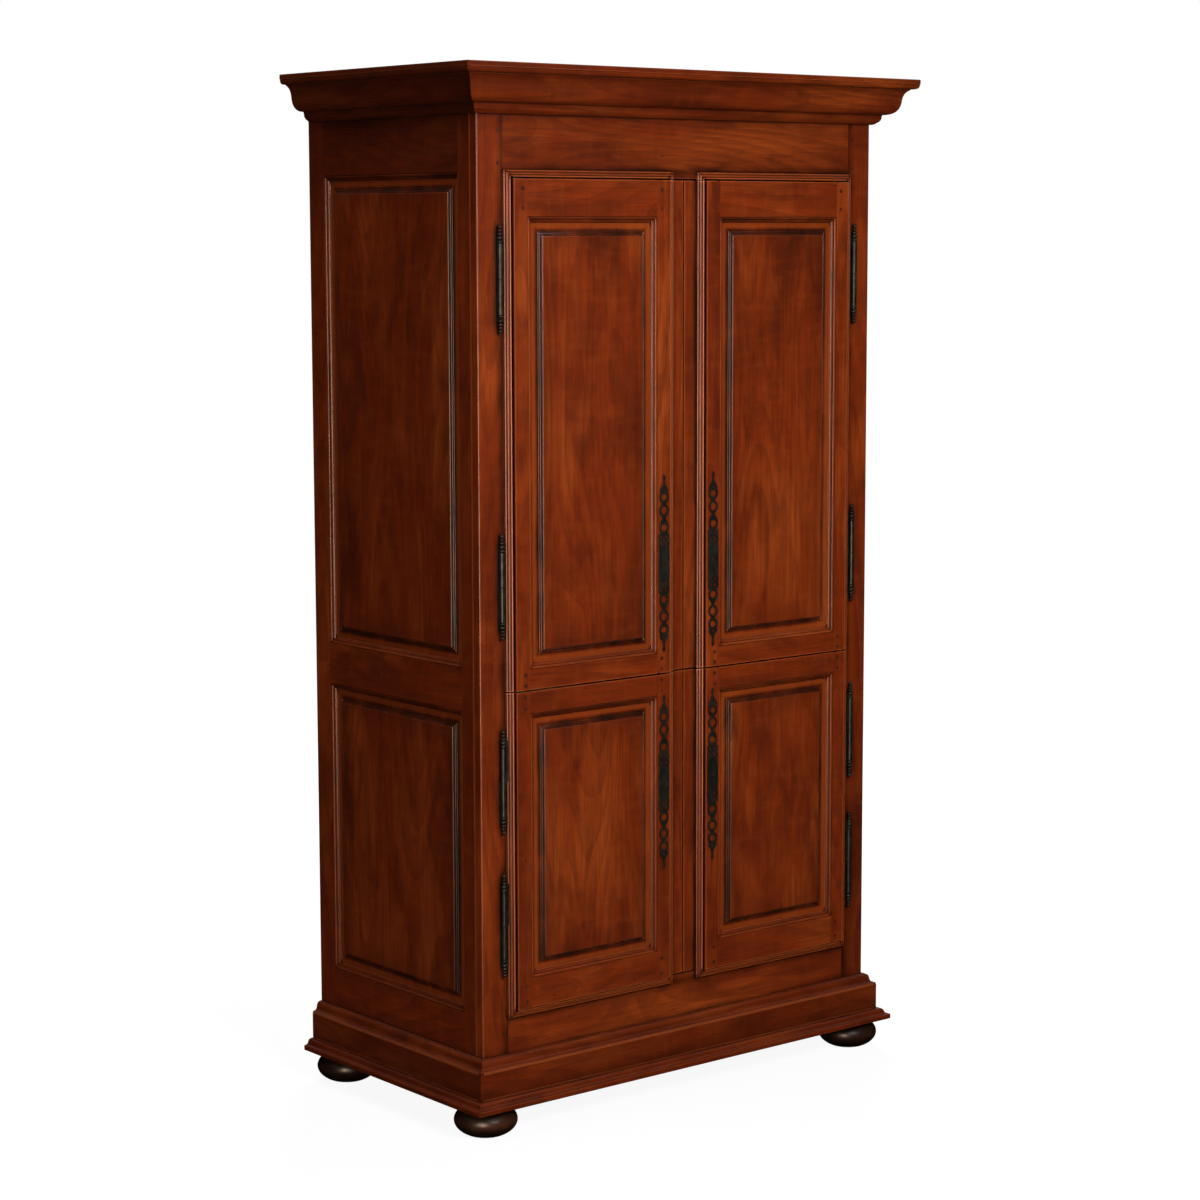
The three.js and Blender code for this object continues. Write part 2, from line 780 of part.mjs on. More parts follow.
// Escutcheon: a pierced iron plate with a keyhole, its middle at the origin and its face to the front
function escutcheon() {
  const half = escutcheonLength / 2;
  const edge = escutcheonEdgeShares.map(([across, along]) => [across * escutcheonWidth, along * half]);
  const lowerEdge = edge.slice(1).reverse().map(([x, z]) => [x, -z]);
  const rightSide = [...lowerEdge, ...edge];
  const leftSide = [...rightSide].reverse().map(([x, z]) => [-x, z]);
  const plate = polygon([...rightSide, ...leftSide]);
  eyePlaceShares.forEach((placeShare, order) => {
    [-1, 1].forEach((end) => {
      const eye = new THREE.Path();
      const height = end * placeShare * half;
      const width = eyeWidthShares[order] * escutcheonWidth;
      const reach = eyeHeightShares[order] * half;
      const points = [];
      for (let i = 0; i < eyeSegments; i += 1) {
        const turn = 2 * Math.PI * i / eyeSegments;
        points.push(new THREE.Vector2(width * Math.cos(turn), height + reach * Math.sin(turn)));
      }
      eye.setFromPoints(points);
      plate.holes.push(eye);
    });
  });
  const keyhole = new THREE.Path();
  const slotTurn = Math.asin(keyholeSlotWidth / 2 / keyholeRadius);
  keyhole.absarc(0, 0, keyholeRadius, slotTurn - Math.PI / 2, Math.PI * 1.5 - slotTurn, false);
  keyhole.lineTo(-keyholeSlotWidth / 2, -keyholeSlotLength);
  keyhole.lineTo(keyholeSlotWidth / 2, -keyholeSlotLength);
  plate.holes.push(keyhole);
  return upright(plate, -ironThickness, ironThickness);
}

const escutcheonX = faceEdge + closingStileWidth / 2;
Object.entries(tiers).forEach(([name, tier]) => {
  const rectangle = panelRectangle(tier);
  const openings = panelOpening(rectangle, -doorProud, leafBack);
  const holes = name === 'upper' ? [pivotHole(tier.top), pivotHole(tier.bottom)] : [];
  const frame = cutBy(leafBlank(tier), ...openings, ...holes);
  const panel = raisedPanel(rectangle, -doorProud);
  place(`${name}_door_left_frame`, frame, wood(frontWood));
  place(`${name}_door_right_frame`, mirrored(frame), wood(frontWood));
  place(`${name}_door_left_panel`, panel, wood(panelWood));
  place(`${name}_door_right_panel`, mirrored(panel), wood(panelWood));
  [['left', -escutcheonX], ['right', escutcheonX]].forEach(([side, across]) => {
    const plate = place(`${name}_escutcheon_${side}`, escutcheon(), iron(blackIron));
    plate.position.set(across, -doorProud - seatGap, tier.escutcheonHeight);
  });
});

// Pocket gear. Runners are battens with a groove, fixed to the side frame's stiles
const runnerInner = openingHalf;
const runnerOuter = sideInner - seatGap;
const runnerDepth = [faceFrameThickness + runnerFrontGap, backPlane - seatGap];
const runnerMiddles = {
  lower: deckTop + seatGap + runnerHeight / 2,
  upper: openingTop - doorGap - runnerHeight / 2,
};

function runner(middle) {
  const blank = block(
    [-runnerOuter, -runnerInner],
    runnerDepth,
    [middle - runnerHeight / 2, middle + runnerHeight / 2],
  );
  const groove = block(
    [-runnerInner - grooveDepth, overrun - runnerInner],
    [runnerDepth[0] - overrun, runnerDepth[1] + overrun],
    [middle - grooveHeight / 2, middle + grooveHeight / 2],
  );
  return cutBy(blank, groove);
}

Object.entries(runnerMiddles).forEach(([tier, middle]) => {
  const batten = runner(middle);
  place(`pocket_runner_left_${tier}`, batten, wood(innerWood));
  place(`pocket_runner_right_${tier}`, mirrored(batten), wood(innerWood));
});

// Carriage: a follower strip behind the leaf, arms with shoes in the runners, and pivot brackets with pins
function carriage() {
  const upper = tiers.upper;
  const stripFront = leafBack + followerClearance;
  const stripBack = stripFront + followerDepth;
  const outer = -leafHingeEdge;
  const lowTop = upper.bottom - runningGap;
  const highBottom = upper.top + runningGap;
  const strip = block(
    [outer, outer + followerWidth],
    [stripFront, stripBack],
    [lowTop - bracketThickness, highBottom + bracketThickness],
  );
  const shoeHalf = grooveHeight / 2 - runningGap;
  const shoeEnd = stripBack + armLength;
  const arms = Object.values(runnerMiddles).flatMap((middle) => [
    block([outer, outer + armThickness], [stripFront, shoeEnd], [middle - shoeHalf, middle + shoeHalf]),
    block(
      [runningGap - runnerInner - grooveDepth, outer + armThickness],
      [shoeEnd - armShoeLength, shoeEnd],
      [middle - shoeHalf, middle + shoeHalf],
    ),
  ]);
  const bracketFront = -doorProud;
  const brackets = [[lowTop - bracketThickness, lowTop], [highBottom, highBottom + bracketThickness]]
    .map((heights) => block([outer, outer + bracketWidth], [bracketFront, stripBack], heights));
  const pins = [
    pivotRod(pivotPinRadius, lowTop - bracketThickness / 2, pivotPinLength),
    pivotRod(pivotPinRadius, highBottom + bracketThickness / 2 - pivotPinLength, pivotPinLength),
  ];
  return joined(strip, ...arms, ...brackets, ...pins);
}

const leftCarriage = carriage();
place('pocket_carriage_left', leftCarriage, iron(greyIron));
place('pocket_carriage_right', mirrored(leftCarriage), iron(greyIron));

// Barrel hinges. Heights along the barrel are measured from its middle
const hingeX = openingHalf + hingeAxisFromOpening;
const hingeHalf = hingeLength / 2;
const barrelRadius = hingeBarrelShare * hingeRingRadius;

// Half barrel as a turned profile from the middle to the tip, with whatever lies on its axis at the middle
function halfProfile(middlePoints) {
  const tip = hingeTipShares.map(([across, along]) => (
    new THREE.Vector2(across * hingeRingRadius, hingeHalf * (1 - along))
  ));
  return [...middlePoints, ...tip.reverse()];
}

function upsideDown(geometry) {
  const turned = merged(geometry);
  turned.rotateX(Math.PI);
  return turned;
}

// Whole barrel with a groove at its middle, where the two halves of a working hinge would part
function wholeProfile() {
  const throat = barrelRadius - hingeSplitDepth;
  const upper = halfProfile([
    new THREE.Vector2(throat, hingeSplitHeight / 2),
    new THREE.Vector2(barrelRadius, hingeSplitHeight / 2),
  ]);
  const lower = upper.map((point) => new THREE.Vector2(point.x, -point.y)).reverse();
  return [...lower, ...upper];
}

const hingeLeafHeights = [runningGap, hingeHalf - 2 * hingeLeafInset];

// Leaf from the barrel back to a thin plate on the face frame, as wide as the moulding beside it allows
function frameLeaf() {
  const plateBack = hingeAxisProud - seatGap;
  const web = block(
    [-barrelRadius / 2, barrelRadius / 2],
    [0, plateBack],
    [-hingeLeafHeights[1], -hingeLeafHeights[0]],
  );
  const plate = block(
    [-hingePlateReach, hingeAxisFromOpening - lipWidth - seatGap],
    [plateBack - hingePlateThickness, plateBack],
    [-hingeLeafHeights[1], hingeLeafHeights[1]],
  );
  return joined(web, plate);
}

// Leaf from the barrel across to the edge of the door's lip
function doorLeaf() {
  const reach = hingeAxisFromOpening - lipWidth - seatGap;
  return block([0, reach], [-hingeLeafThickness / 2, hingeLeafThickness / 2], hingeLeafHeights);
}

const fixedBarrel = joined(upLathe(wholeProfile(), hingeSegments), frameLeaf());
const pinTop = [
  new THREE.Vector2(0, -hingePinLength),
  new THREE.Vector2(hingePinRadius, -hingePinLength),
  new THREE.Vector2(hingePinRadius, 0),
  new THREE.Vector2(barrelRadius, 0),
];
const frameKnuckle = joined(upsideDown(upLathe(halfProfile(pinTop), hingeSegments)), frameLeaf());
const boreRadius = hingePinRadius + runningGap;
const boreMouth = [
  new THREE.Vector2(0, hingePinLength + runningGap),
  new THREE.Vector2(boreRadius, hingePinLength + runningGap),
  new THREE.Vector2(boreRadius, runningGap),
  new THREE.Vector2(barrelRadius, runningGap),
];
const boredHalf = upLathe(halfProfile(boreMouth), hingeSegments);
const clearOfBore = block(
  [-boreRadius, boreRadius],
  [-boreRadius, boreRadius],
  [-overrun, hingePinLength + runningGap],
);
const doorKnuckle = joined(boredHalf, cutBy(doorLeaf(), clearOfBore));

// Middles of the two hinges of a door, from their shares of its height
function hingeHeights(tier, placeShares) {
  return placeShares.map((share) => tier.bottom + share * (tier.top - tier.bottom));
}

[['left', -1], ['right', 1]].forEach(([side, way]) => {
  const handed = (geometry) => (way < 0 ? geometry : mirrored(geometry));
  hingeHeights(tiers.upper, upperHingePlaceShares).forEach((height, order) => {
    const barrel = place(`upper_hinge_${side}_${order + 1}`, handed(fixedBarrel), iron(greyIron));
    barrel.position.set(way * hingeX, -hingeAxisProud, height);
  });
  hingeHeights(tiers.lower, lowerHingePlaceShares).forEach((height, order) => {
    Object.entries({ frame_knuckle: frameKnuckle, door_knuckle: doorKnuckle }).forEach(([half, solid]) => {
      const knuckle = place(`lower_hinge_${side}_${order + 1}_${half}`, handed(solid), iron(greyIron));
      knuckle.position.set(way * hingeX, -hingeAxisProud, height);
    });
  });
});

export default armoire;
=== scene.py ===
import json
import math

import bmesh
import bpy
from mathutils import Matrix, Vector

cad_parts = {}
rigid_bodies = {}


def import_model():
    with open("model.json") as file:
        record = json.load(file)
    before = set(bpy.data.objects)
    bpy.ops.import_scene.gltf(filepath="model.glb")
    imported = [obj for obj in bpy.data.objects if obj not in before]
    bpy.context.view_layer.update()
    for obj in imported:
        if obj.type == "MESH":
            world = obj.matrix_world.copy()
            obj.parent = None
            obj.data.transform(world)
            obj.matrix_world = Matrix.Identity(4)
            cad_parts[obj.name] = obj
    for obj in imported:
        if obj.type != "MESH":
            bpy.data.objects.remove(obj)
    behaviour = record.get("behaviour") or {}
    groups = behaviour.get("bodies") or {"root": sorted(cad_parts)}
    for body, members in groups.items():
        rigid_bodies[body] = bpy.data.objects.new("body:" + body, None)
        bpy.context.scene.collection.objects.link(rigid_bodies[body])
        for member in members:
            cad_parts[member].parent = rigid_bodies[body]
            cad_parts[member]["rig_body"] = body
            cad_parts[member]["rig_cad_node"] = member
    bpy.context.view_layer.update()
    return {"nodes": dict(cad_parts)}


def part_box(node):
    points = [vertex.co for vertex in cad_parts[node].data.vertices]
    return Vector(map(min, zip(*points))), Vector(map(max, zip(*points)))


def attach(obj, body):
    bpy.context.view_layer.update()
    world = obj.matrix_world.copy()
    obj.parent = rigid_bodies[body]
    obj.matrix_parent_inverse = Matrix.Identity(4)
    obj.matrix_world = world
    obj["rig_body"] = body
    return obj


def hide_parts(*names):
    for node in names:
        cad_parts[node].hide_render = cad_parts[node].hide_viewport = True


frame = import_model()


# Camera: a long lens a little above eye height, well to the left of the front, so that the whole cabinet shows
# with its left side.
camera_data = bpy.data.cameras.new("camera")
camera_data.lens = 86.08
camera_data.sensor_width = 36
camera_data.clip_end = 60
camera = bpy.data.objects.new("camera", camera_data)
camera_turn, camera_tilt, camera_roll = [math.radians(angle) for angle in (-39.19, 82.66, -0.13)]
camera.rotation_euler = (
    Matrix.Rotation(camera_turn, 3, "Z") @ Matrix.Rotation(camera_tilt, 3, "X")
    @ Matrix.Rotation(camera_roll, 3, "Z")
).to_euler()
camera.location = (-3.888, -4.747, 1.814)
scene = bpy.context.scene
scene.collection.objects.link(camera)
scene.camera = camera
scene.view_settings.view_transform = "Standard"


# Studio: a white floor that runs out of sight under a white sky. Soft lamps stand before the front, above, at
# the left and behind, and a warm one that only polish sees draws the fine lights along the mouldings. Black
# cards keep the white of the room out of the polish on the broad flat faces.
def add_node(tree, kind, inputs=None, **settings):
    """A shader node with its settings, each input given a value or wired to another node's output."""
    node = tree.nodes.new(f"ShaderNode{kind}")
    for key, value in settings.items():
        setattr(node, key, value)
    for socket, value in (inputs or {}).items():
        if isinstance(value, bpy.types.NodeSocket):
            tree.links.new(value, node.inputs[socket])
        else:
            node.inputs[socket].default_value = value
    return node


def reckoned(tree, operation, first, second=0, clamped=False):
    """One sum on two numbers."""
    node = add_node(tree, "Math", {0: first, 1: second}, operation=operation, use_clamp=clamped)
    return node.outputs[0]


def ranged(tree, value, low, high, to_low, to_high):
    """A value's range from low to high, drawn out to another range and held within it."""
    node = add_node(tree, "MapRange", {
        "Value": value, "From Min": low, "From Max": high, "To Min": to_low, "To Max": to_high})
    return node.outputs[0]


def seen_directly(tree):
    """1 for the rays by which the camera, gloss and glass see a backdrop."""
    path = add_node(tree, "LightPath")
    direct = reckoned(tree, "MAXIMUM", path.outputs["Is Camera Ray"], path.outputs["Is Glossy Ray"])
    return reckoned(tree, "MAXIMUM", direct, path.outputs["Is Transmission Ray"])


def bare_material(name):
    """A new material, and its node tree emptied."""
    material = bpy.data.materials.new(name)
    material.use_nodes = True
    material.node_tree.nodes.clear()
    return material, material.node_tree


def put_down():
    """Nothing is selected any more."""
    bpy.ops.object.select_all(action="DESELECT")


def whole_in_edit():
    """Edit mode, with the whole piece selected."""
    bpy.ops.object.mode_set(mode="EDIT")
    bpy.ops.mesh.select_all(action="SELECT")


def faced_out():
    """Every face of the whole piece turned outwards, and out of edit mode."""
    bpy.ops.mesh.select_all(action="SELECT")
    bpy.ops.mesh.normals_make_consistent(inside=False)
    bpy.ops.object.mode_set(mode="OBJECT")


def just_made(name):
    """The object that the last operator made, under a name of its own."""
    piece = bpy.context.object
    piece.name = piece.data.name = name
    return piece


def settled():
    """What is selected keeps its place, turn and size in its mesh."""
    bpy.ops.object.transform_apply(location=True, rotation=True, scale=True)


sky_light = 0.07
world = bpy.data.worlds.new("sky")
world.use_nodes = True
sky_tree = world.node_tree
sky_tree.nodes.clear()
sky_strength = ranged(sky_tree, seen_directly(sky_tree), 0, 1, sky_light, 1)
sky = add_node(sky_tree, "Background", {"Color": (1, 1, 1, 1), "Strength": sky_strength})
add_node(sky_tree, "OutputWorld", {"Surface": sky.outputs[0]})
scene.world = world

floor_grey = 0.12
glow_near, glow_far, glow_least = 0.8, 4, 0.92
floor_size = 90
floor_paint, floor_tree = bare_material("floor_paint")
floor_matt = add_node(floor_tree, "BsdfDiffuse", {"Color": (floor_grey, floor_grey, floor_grey, 1)})
floor_glow = add_node(floor_tree, "Emission", {"Color": (1, 1, 1, 1)})
floor_place = add_node(floor_tree, "TexCoord").outputs["Object"]
floor_reach = add_node(floor_tree, "VectorMath", {0: floor_place}, operation="LENGTH").outputs["Value"]
floor_white = ranged(floor_tree, floor_reach, glow_near, glow_far, glow_least, 1)
floor_lift = reckoned(floor_tree, "MULTIPLY", seen_directly(floor_tree), floor_white)
floor_tree.links.new(floor_lift, floor_glow.inputs["Strength"])
floor_sum = add_node(floor_tree, "AddShader", {0: floor_matt.outputs[0], 1: floor_glow.outputs[0]})
add_node(floor_tree, "OutputMaterial", {"Surface": floor_sum.outputs[0]})

put_down()
bpy.ops.mesh.primitive_plane_add(size=floor_size)
floor = just_made("floor")
floor.data.materials.append(floor_paint)


def soft_lamp(name, place, aim, width, height, power):
    """A soft lamp at a place, aimed at a point."""
    lamp_data = bpy.data.lights.new(name, "AREA")
    lamp_data.shape = "RECTANGLE"
    lamp_data.size, lamp_data.size_y, lamp_data.energy = width, height, power
    lamp = bpy.data.objects.new(name, lamp_data)
    lamp.location = place
    lamp.rotation_euler = (Vector(aim) - Vector(place)).to_track_quat("-Z", "Y").to_euler()
    scene.collection.objects.link(lamp)
    return lamp


soft_lamp("front_lamp", (-0.5, -3.2, 2.4), (0, 0, 1.2), 1.0, 1.0, 92)
soft_lamp("high_lamp", (-1.8, 0.2, 4.4), (0, 0, 1.0), 1.0, 1.6, 24)
soft_lamp("broad_lamp", (-3.7, -2.9, 1.1), (0, 0, 1.1), 1.5, 2.0, 52)
soft_lamp("rear_lamp", (2.6, 3.0, 2.2), (0, 0, 1.1), 1.6, 1.6, 150)
bead_lamp = soft_lamp("bead_lamp", (-3.2, -2.6, 1.05), (0, 0, 1.05), 1.5, 2.0, 420)
bead_lamp.data.color = (1, 0.7, 0.5)
bead_lamp.visible_diffuse = False


card_grey = 0.004
card_paint, card_tree = bare_material("card_paint")
card_black = add_node(card_tree, "BsdfDiffuse", {"Color": (card_grey, card_grey, card_grey, 1)})
add_node(card_tree, "OutputMaterial", {"Surface": card_black.outputs[0]})


def black_card(name, place, size=5, lean=130):
    """A card that only polish sees, turned to the cabinet: a lean of 90 stands upright and 0 lies flat."""
    put_down()
    turn = math.atan2(place[1], place[0]) + math.pi / 2
    bpy.ops.mesh.primitive_plane_add(size=1, location=place, rotation=(math.radians(lean), 0, turn))
    card = just_made(name)
    bpy.ops.transform.resize(value=(size, size, 1), orient_type="LOCAL")
    settled()
    card.data.materials.append(card_paint)
    card.visible_camera = card.visible_diffuse = card.visible_transmission = card.visible_shadow = False


black_card("right_card", (1.47, -1.8, 1.94))
black_card("left_card", (-1.47, 1.8, 1.94))
black_card("rear_card", (1.86, 1.4, 1.94))
black_card("front_card", (-4.1, -3.3, 2.6), size=7, lean=90)
black_card("floor_card", (0, 0, 0.002), size=3.6, lean=0)


# Sides of the cabinet: solid stained wood, two stiles and three rails each, with a moulded edge mitred round
# two raised panels. The stain is red brown; crests are orange, partly rubbed through and partly painted
# highlight, and quirks are dark with glaze and painted shade.
X, Y, Z = Vector((1, 0, 0)), Vector((0, 1, 0)), Vector((0, 0, 1))


def colour(tone):
    """A colour picked in the screen's 0 to 255 steps of red, green and blue, for a shader."""
    steps = [value / 255 for value in tone]
    return (*[step / 12.92 if step <= 0.04045 else ((step + 0.055) / 1.055) ** 2.4 for step in steps], 1)


def mark_read(tree, mark):
    """A number that a piece carries on its points."""
    return add_node(tree, "Attribute", attribute_name=mark).outputs["Fac"]


def grain_vectors(tree):
    """Object coordinates with the grain turned along Z, and moved by each board's own number."""
    place = add_node(tree, "TexCoord").outputs["Object"]
    parts = add_node(tree, "SeparateXYZ", {0: place})
    level = add_node(tree, "CombineXYZ", {0: parts.outputs["Z"], 1: parts.outputs["Y"], 2: parts.outputs["X"]})
    deep = add_node(tree, "CombineXYZ", {0: parts.outputs["Z"], 1: parts.outputs["X"], 2: parts.outputs["Y"]})
    way = mark_read(tree, "grain")
    is_level = reckoned(tree, "GREATER_THAN", way, 0.5)
    is_deep = reckoned(tree, "GREATER_THAN", way, 1.5)
    turned = add_node(tree, "Mix", {"Factor": is_level, 4: place, 5: level.outputs[0]}, data_type="VECTOR")
    turned = add_node(tree, "Mix", {"Factor": is_deep, 4: turned.outputs[1], 5: deep.outputs[0]},
                      data_type="VECTOR")
    board_shift = (0.731, 0.417, 1.13)
    step = add_node(tree, "VectorMath", {0: board_shift, "Scale": mark_read(tree, "board")}, operation="SCALE")
    moved = add_node(tree, "VectorMath", {0: turned.outputs[1], 1: step.outputs[0]}, operation="ADD")
    return moved.outputs[0]


def stretched(tree, vector, across, along):
    """A pattern's coordinates, with its own scale across the grain and along it."""
    scaled = add_node(tree, "VectorMath", {0: vector, 1: (across, across, along)}, operation="MULTIPLY")
    return scaled.outputs[0]


def laid_on(tree, under, over, value, low, high, strength):
    """One colour laid over another: not at all where a value is low, and by its strength where it is high."""
    factor = ranged(tree, value, low, high, 0, strength)
    return add_node(tree, "Mix", {"Factor": factor, 6: under, 7: over}, data_type="RGBA").outputs[2]


def shut_in(tree, reach, samples, **settings):
    """1 on open surfaces, and less the more they are shut in within reach."""
    return add_node(tree, "AmbientOcclusion", {"Distance": reach}, samples=samples, **settings).outputs["AO"]


def stained_wood(name, dark, body, light, glaze_and_shade, rub_and_highlight, roughness=0.3, figure=1.0, rub_and_highlight_strength=0.85, polish=1.0):
    """Stained and polished wood: clouded colour, growth rings, ripple, fibres, pores, crests lightened by rubbing
    and by painted highlight, and glaze with painted shade.
    """
    material, tree = bare_material(name)
    dark, body, light, glaze_and_shade, rub_and_highlight = [colour(tone) for tone in (dark, body, light, glaze_and_shade, rub_and_highlight)]
    grain = grain_vectors(tree)

    def cloudy(across, along, detail=2, distortion=0.4):
        noise = add_node(tree, "TexNoise", {
            "Vector": stretched(tree, grain, across, along), "Scale": 1, "Detail": detail, "Roughness": 0.55,
            "Distortion": distortion})
        return noise.outputs["Fac"]

    ramp = add_node(tree, "ValToRGB", {"Fac": cloudy(6, 1.6)})
    ramp.color_ramp.interpolation = "EASE"
    ramp.color_ramp.elements[0].position, ramp.color_ramp.elements[0].color = 0.2, dark
    ramp.color_ramp.elements[1].position, ramp.color_ramp.elements[1].color = 0.72, light
    ramp.color_ramp.elements.new(0.5).color = body
    rings, crest_reach, hollow_reach, corner_reach = 27, 0.0035, 0.005, 0.036
    growth = reckoned(tree, "MULTIPLY", cloudy(4.4, 0.75, 1, 0.15), rings)
    ring = reckoned(tree, "FRACT", growth)
    fibre, pores = cloudy(380, 11, 3), cloudy(1300, 45, 1, 0)
    speck = add_node(tree, "TexVoronoi", {"Vector": stretched(tree, grain, 15, 9), "Scale": 1})
    crest = reckoned(tree, "MAXIMUM", shut_in(tree, crest_reach, 6, inside=True, only_local=True),
                     mark_read(tree, "joined"))
    # Patchy amount by which the glaze and the painted shade lie on.
    patchiness = ranged(tree, cloudy(18, 9), 0.3, 0.7, 0.35, 1)
    # Painted shade, with glaze, in corners beside mouldings: the more a surface is shut in within a wide reach,
    # the darker.
    corner_glaze_and_shade = reckoned(tree, "MULTIPLY", ranged(tree, shut_in(tree, corner_reach, 8), 0.97, 0.7, 0, 0.8), patchiness)
    # Painted shade wherever a piece carries the painted_shade mark.
    beside = reckoned(tree, "MULTIPLY", mark_read(tree, "painted_shade"), patchiness)
    # Crests lighter, partly rubbed-through finish and partly painted highlight, but not under painted shade.
    worn = reckoned(tree, "SUBTRACT", ranged(tree, crest, 0.88, 0.5, 0, rub_and_highlight_strength), beside, clamped=True)
    # The shade mark: painted shade on the frieze, the sides' top rails, the cornice and the plinth, the side runs
    # darkest; a panel field darker to its edge; -1 for a paler margin.
    edge = mark_read(tree, "shade")
    # From the wood outwards: a colour, the number that places it, that number where it is absent and where it
    # is full, and its strength.
    layers = (
        (dark, cloudy(19, 7, 3, 0.9), 0.48, 0.72, 0.62 * figure),
        (light, cloudy(13, 5.2, 2, 0.7), 0.52, 0.74, 0.5 * figure),
        (dark, cloudy(34, 2.2), 0.5, 0.72, 0.22 * figure),
        (dark, ring, 0.3, 0.93, 0.3 * figure),
        (light, cloudy(12, 50, 1), 0.5, 0.72, 0.16 * figure),
        (dark, cloudy(150, 8), 0.45, 0.7, 0.26),
        (dark, fibre, 0.42, 0.7, 0.4),
        (glaze_and_shade, pores, 0.64, 0.76, 0.35),
        (glaze_and_shade, speck.outputs["Distance"], 0.035, 0.018, 0.75),
        # Glaze in the quirks, with painted shade in every hollow, by how shut in the surface is.
        (glaze_and_shade, shut_in(tree, hollow_reach, 8), 0.8, 0.42, 0.97),
        # Painted shade and glaze in corners beside mouldings.
        (glaze_and_shade, corner_glaze_and_shade, 0, 1, 1),
        # Painted shade by the painted_shade mark.
        (glaze_and_shade, beside, 0.1, 0.9, 0.8),
        # Rubbed-through orange with painted highlight on the crests.
        (rub_and_highlight, worn, 0, 1, 1),
        # Painted shade and darker panel borders by the shade mark.
        (glaze_and_shade, edge, 0, 3, 0.66),
        (light, edge, 0, -1, 0.4),
    )
    shade = ramp.outputs["Color"]
    for over, value, low, high, strength in layers:
        shade = laid_on(tree, shade, over, value, low, high, strength)

    relief = reckoned(tree, "SUBTRACT", fibre, pores)
    bump = add_node(tree, "Bump", {"Height": relief, "Strength": 0.2, "Distance": 0.0003})
    gloss = ranged(tree, fibre, 0.3, 0.7, roughness - 0.04, roughness + 0.08)
    finish = add_node(tree, "BsdfPrincipled", {
        "Base Color": shade, "Roughness": gloss, "Normal": bump.outputs[0],
        "Coat Weight": ranged(tree, crest, 0.9, 0.45, 0, polish), "IOR": 1.45, "Specular IOR Level": 0.15,
        "Coat Roughness": 0.38, "Coat IOR": 1.3})
    add_node(tree, "OutputMaterial", {"Surface": finish.outputs[0]})
    return material


def outline(shares, width, height, steps=6):
    """Moulding outline from a table of shares: two numbers make a line, four a curve through a control point."""
    points = []
    for share in shares:
        end = Vector((share[-2] * width, share[-1] * height))
        if len(share) == 4:
            start, control = points[-1], Vector((share[0] * width, share[1] * height))
            for step in range(1, steps):
                t = step / steps
                points.append(start * (1 - t) ** 2 + control * 2 * t * (1 - t) + end * t ** 2)
        points.append(end)
    return points


# Near a mitre the crests get neither the rubbed colour nor the painted highlight.
unworn = 0.004  # beside a mitre, where no edge was ever rubbed
saw_waste, wood_ease, touching = 0.01, 0.0007, 0.0001


def mark_layer(piece, mark):
    """A piece's own numbers under a mark, one for each point, which its finish reads."""
    return piece.data.attributes.get(mark) or piece.data.attributes.new(mark, "FLOAT", "POINT")


def marked(piece, mark, value):
    """One number written on every point of a piece."""
    mark_layer(piece, mark).data.foreach_set("value", [value] * len(piece.data.vertices))
    return piece


def sawn(place, way, off=False):
    """A saw cut right through a piece in edit mode, with the wood beyond it taken off or left on."""
    bpy.ops.mesh.select_all(action="SELECT")
    bpy.ops.mesh.bisect(plane_co=place, plane_no=way, use_fill=off, clear_outer=off)


def moulding(name, section, start, end, out, rise, cuts=(0, 0)):
    """An outline drawn out from one end to the other, each end cut square (0), or to an inner (1) or outer (-1)
    mitre."""
    along = (end - start).normalized()
    spare = max(abs(across) for across, _ in section) + saw_waste
    put_down()
    bpy.ops.mesh.primitive_circle_add(vertices=len(section), fill_type="NGON")
    piece = just_made(name)
    for vertex, (across, height) in zip(piece.data.vertices, section):
        vertex.co = start + out * across + rise * height - along * spare
    whole_in_edit()
    bpy.ops.mesh.extrude_region_move(TRANSFORM_OT_translate={"value": end - start + along * 2 * spare})
    ends = [(start, (-along + out * cuts[0]).normalized()), (end, (along + out * cuts[1]).normalized())]
    for place, way in ends:
        sawn(place, way, off=True)
        for reach in (unworn, 2 * unworn):
            sawn(place - way * reach, way)
    faced_out()
    marked(piece, "joined", 0)
    for (place, way), cut in zip(ends, cuts):
        if cut:
            joined_at(piece, way, place.dot(way), unworn + touching)
    return piece


def pick(piece):
    """Nothing but one piece is selected."""
    put_down()
    piece.select_set(True)
    bpy.context.view_layer.objects.active = piece


def smoothed(piece, angle=35):
    """Curved faces shade smoothly, and broad flats stay flat."""
    pick(piece)
    bpy.ops.mesh.customdata_custom_splitnormals_clear()
    bpy.ops.object.shade_smooth_by_angle(angle=math.radians(angle))
    level = piece.modifiers.new("flat faces stay flat", "WEIGHTED_NORMAL")
    level.mode, level.weight, level.keep_sharp = "FACE_AREA", 80, True
    bpy.ops.object.modifier_apply(modifier=level.name)
    return piece


def eased(piece, width, segments=2):
    """Sharp edges rounded over."""
    bevel = piece.modifiers.new("eased edges", "BEVEL")
    bevel.width, bevel.segments = width, segments
    bevel.limit_method, bevel.angle_limit = "ANGLE", math.radians(40)
    pick(piece)
    bpy.ops.object.modifier_apply(modifier=bevel.name)
    return smoothed(piece)


def block(name, low, high):
    """Wood sawn square, between two corners."""
    put_down()
    bpy.ops.mesh.primitive_cube_add(size=1, location=(Vector(low) + Vector(high)) / 2)
    piece = just_made(name)
    bpy.ops.transform.resize(value=[abs(size) for size in Vector(high) - Vector(low)])
    settled()
    return piece


def board(name, low, high, ease=wood_ease):
    """A board between two corners with eased edges."""
    return eased(block(name, low, high), ease)


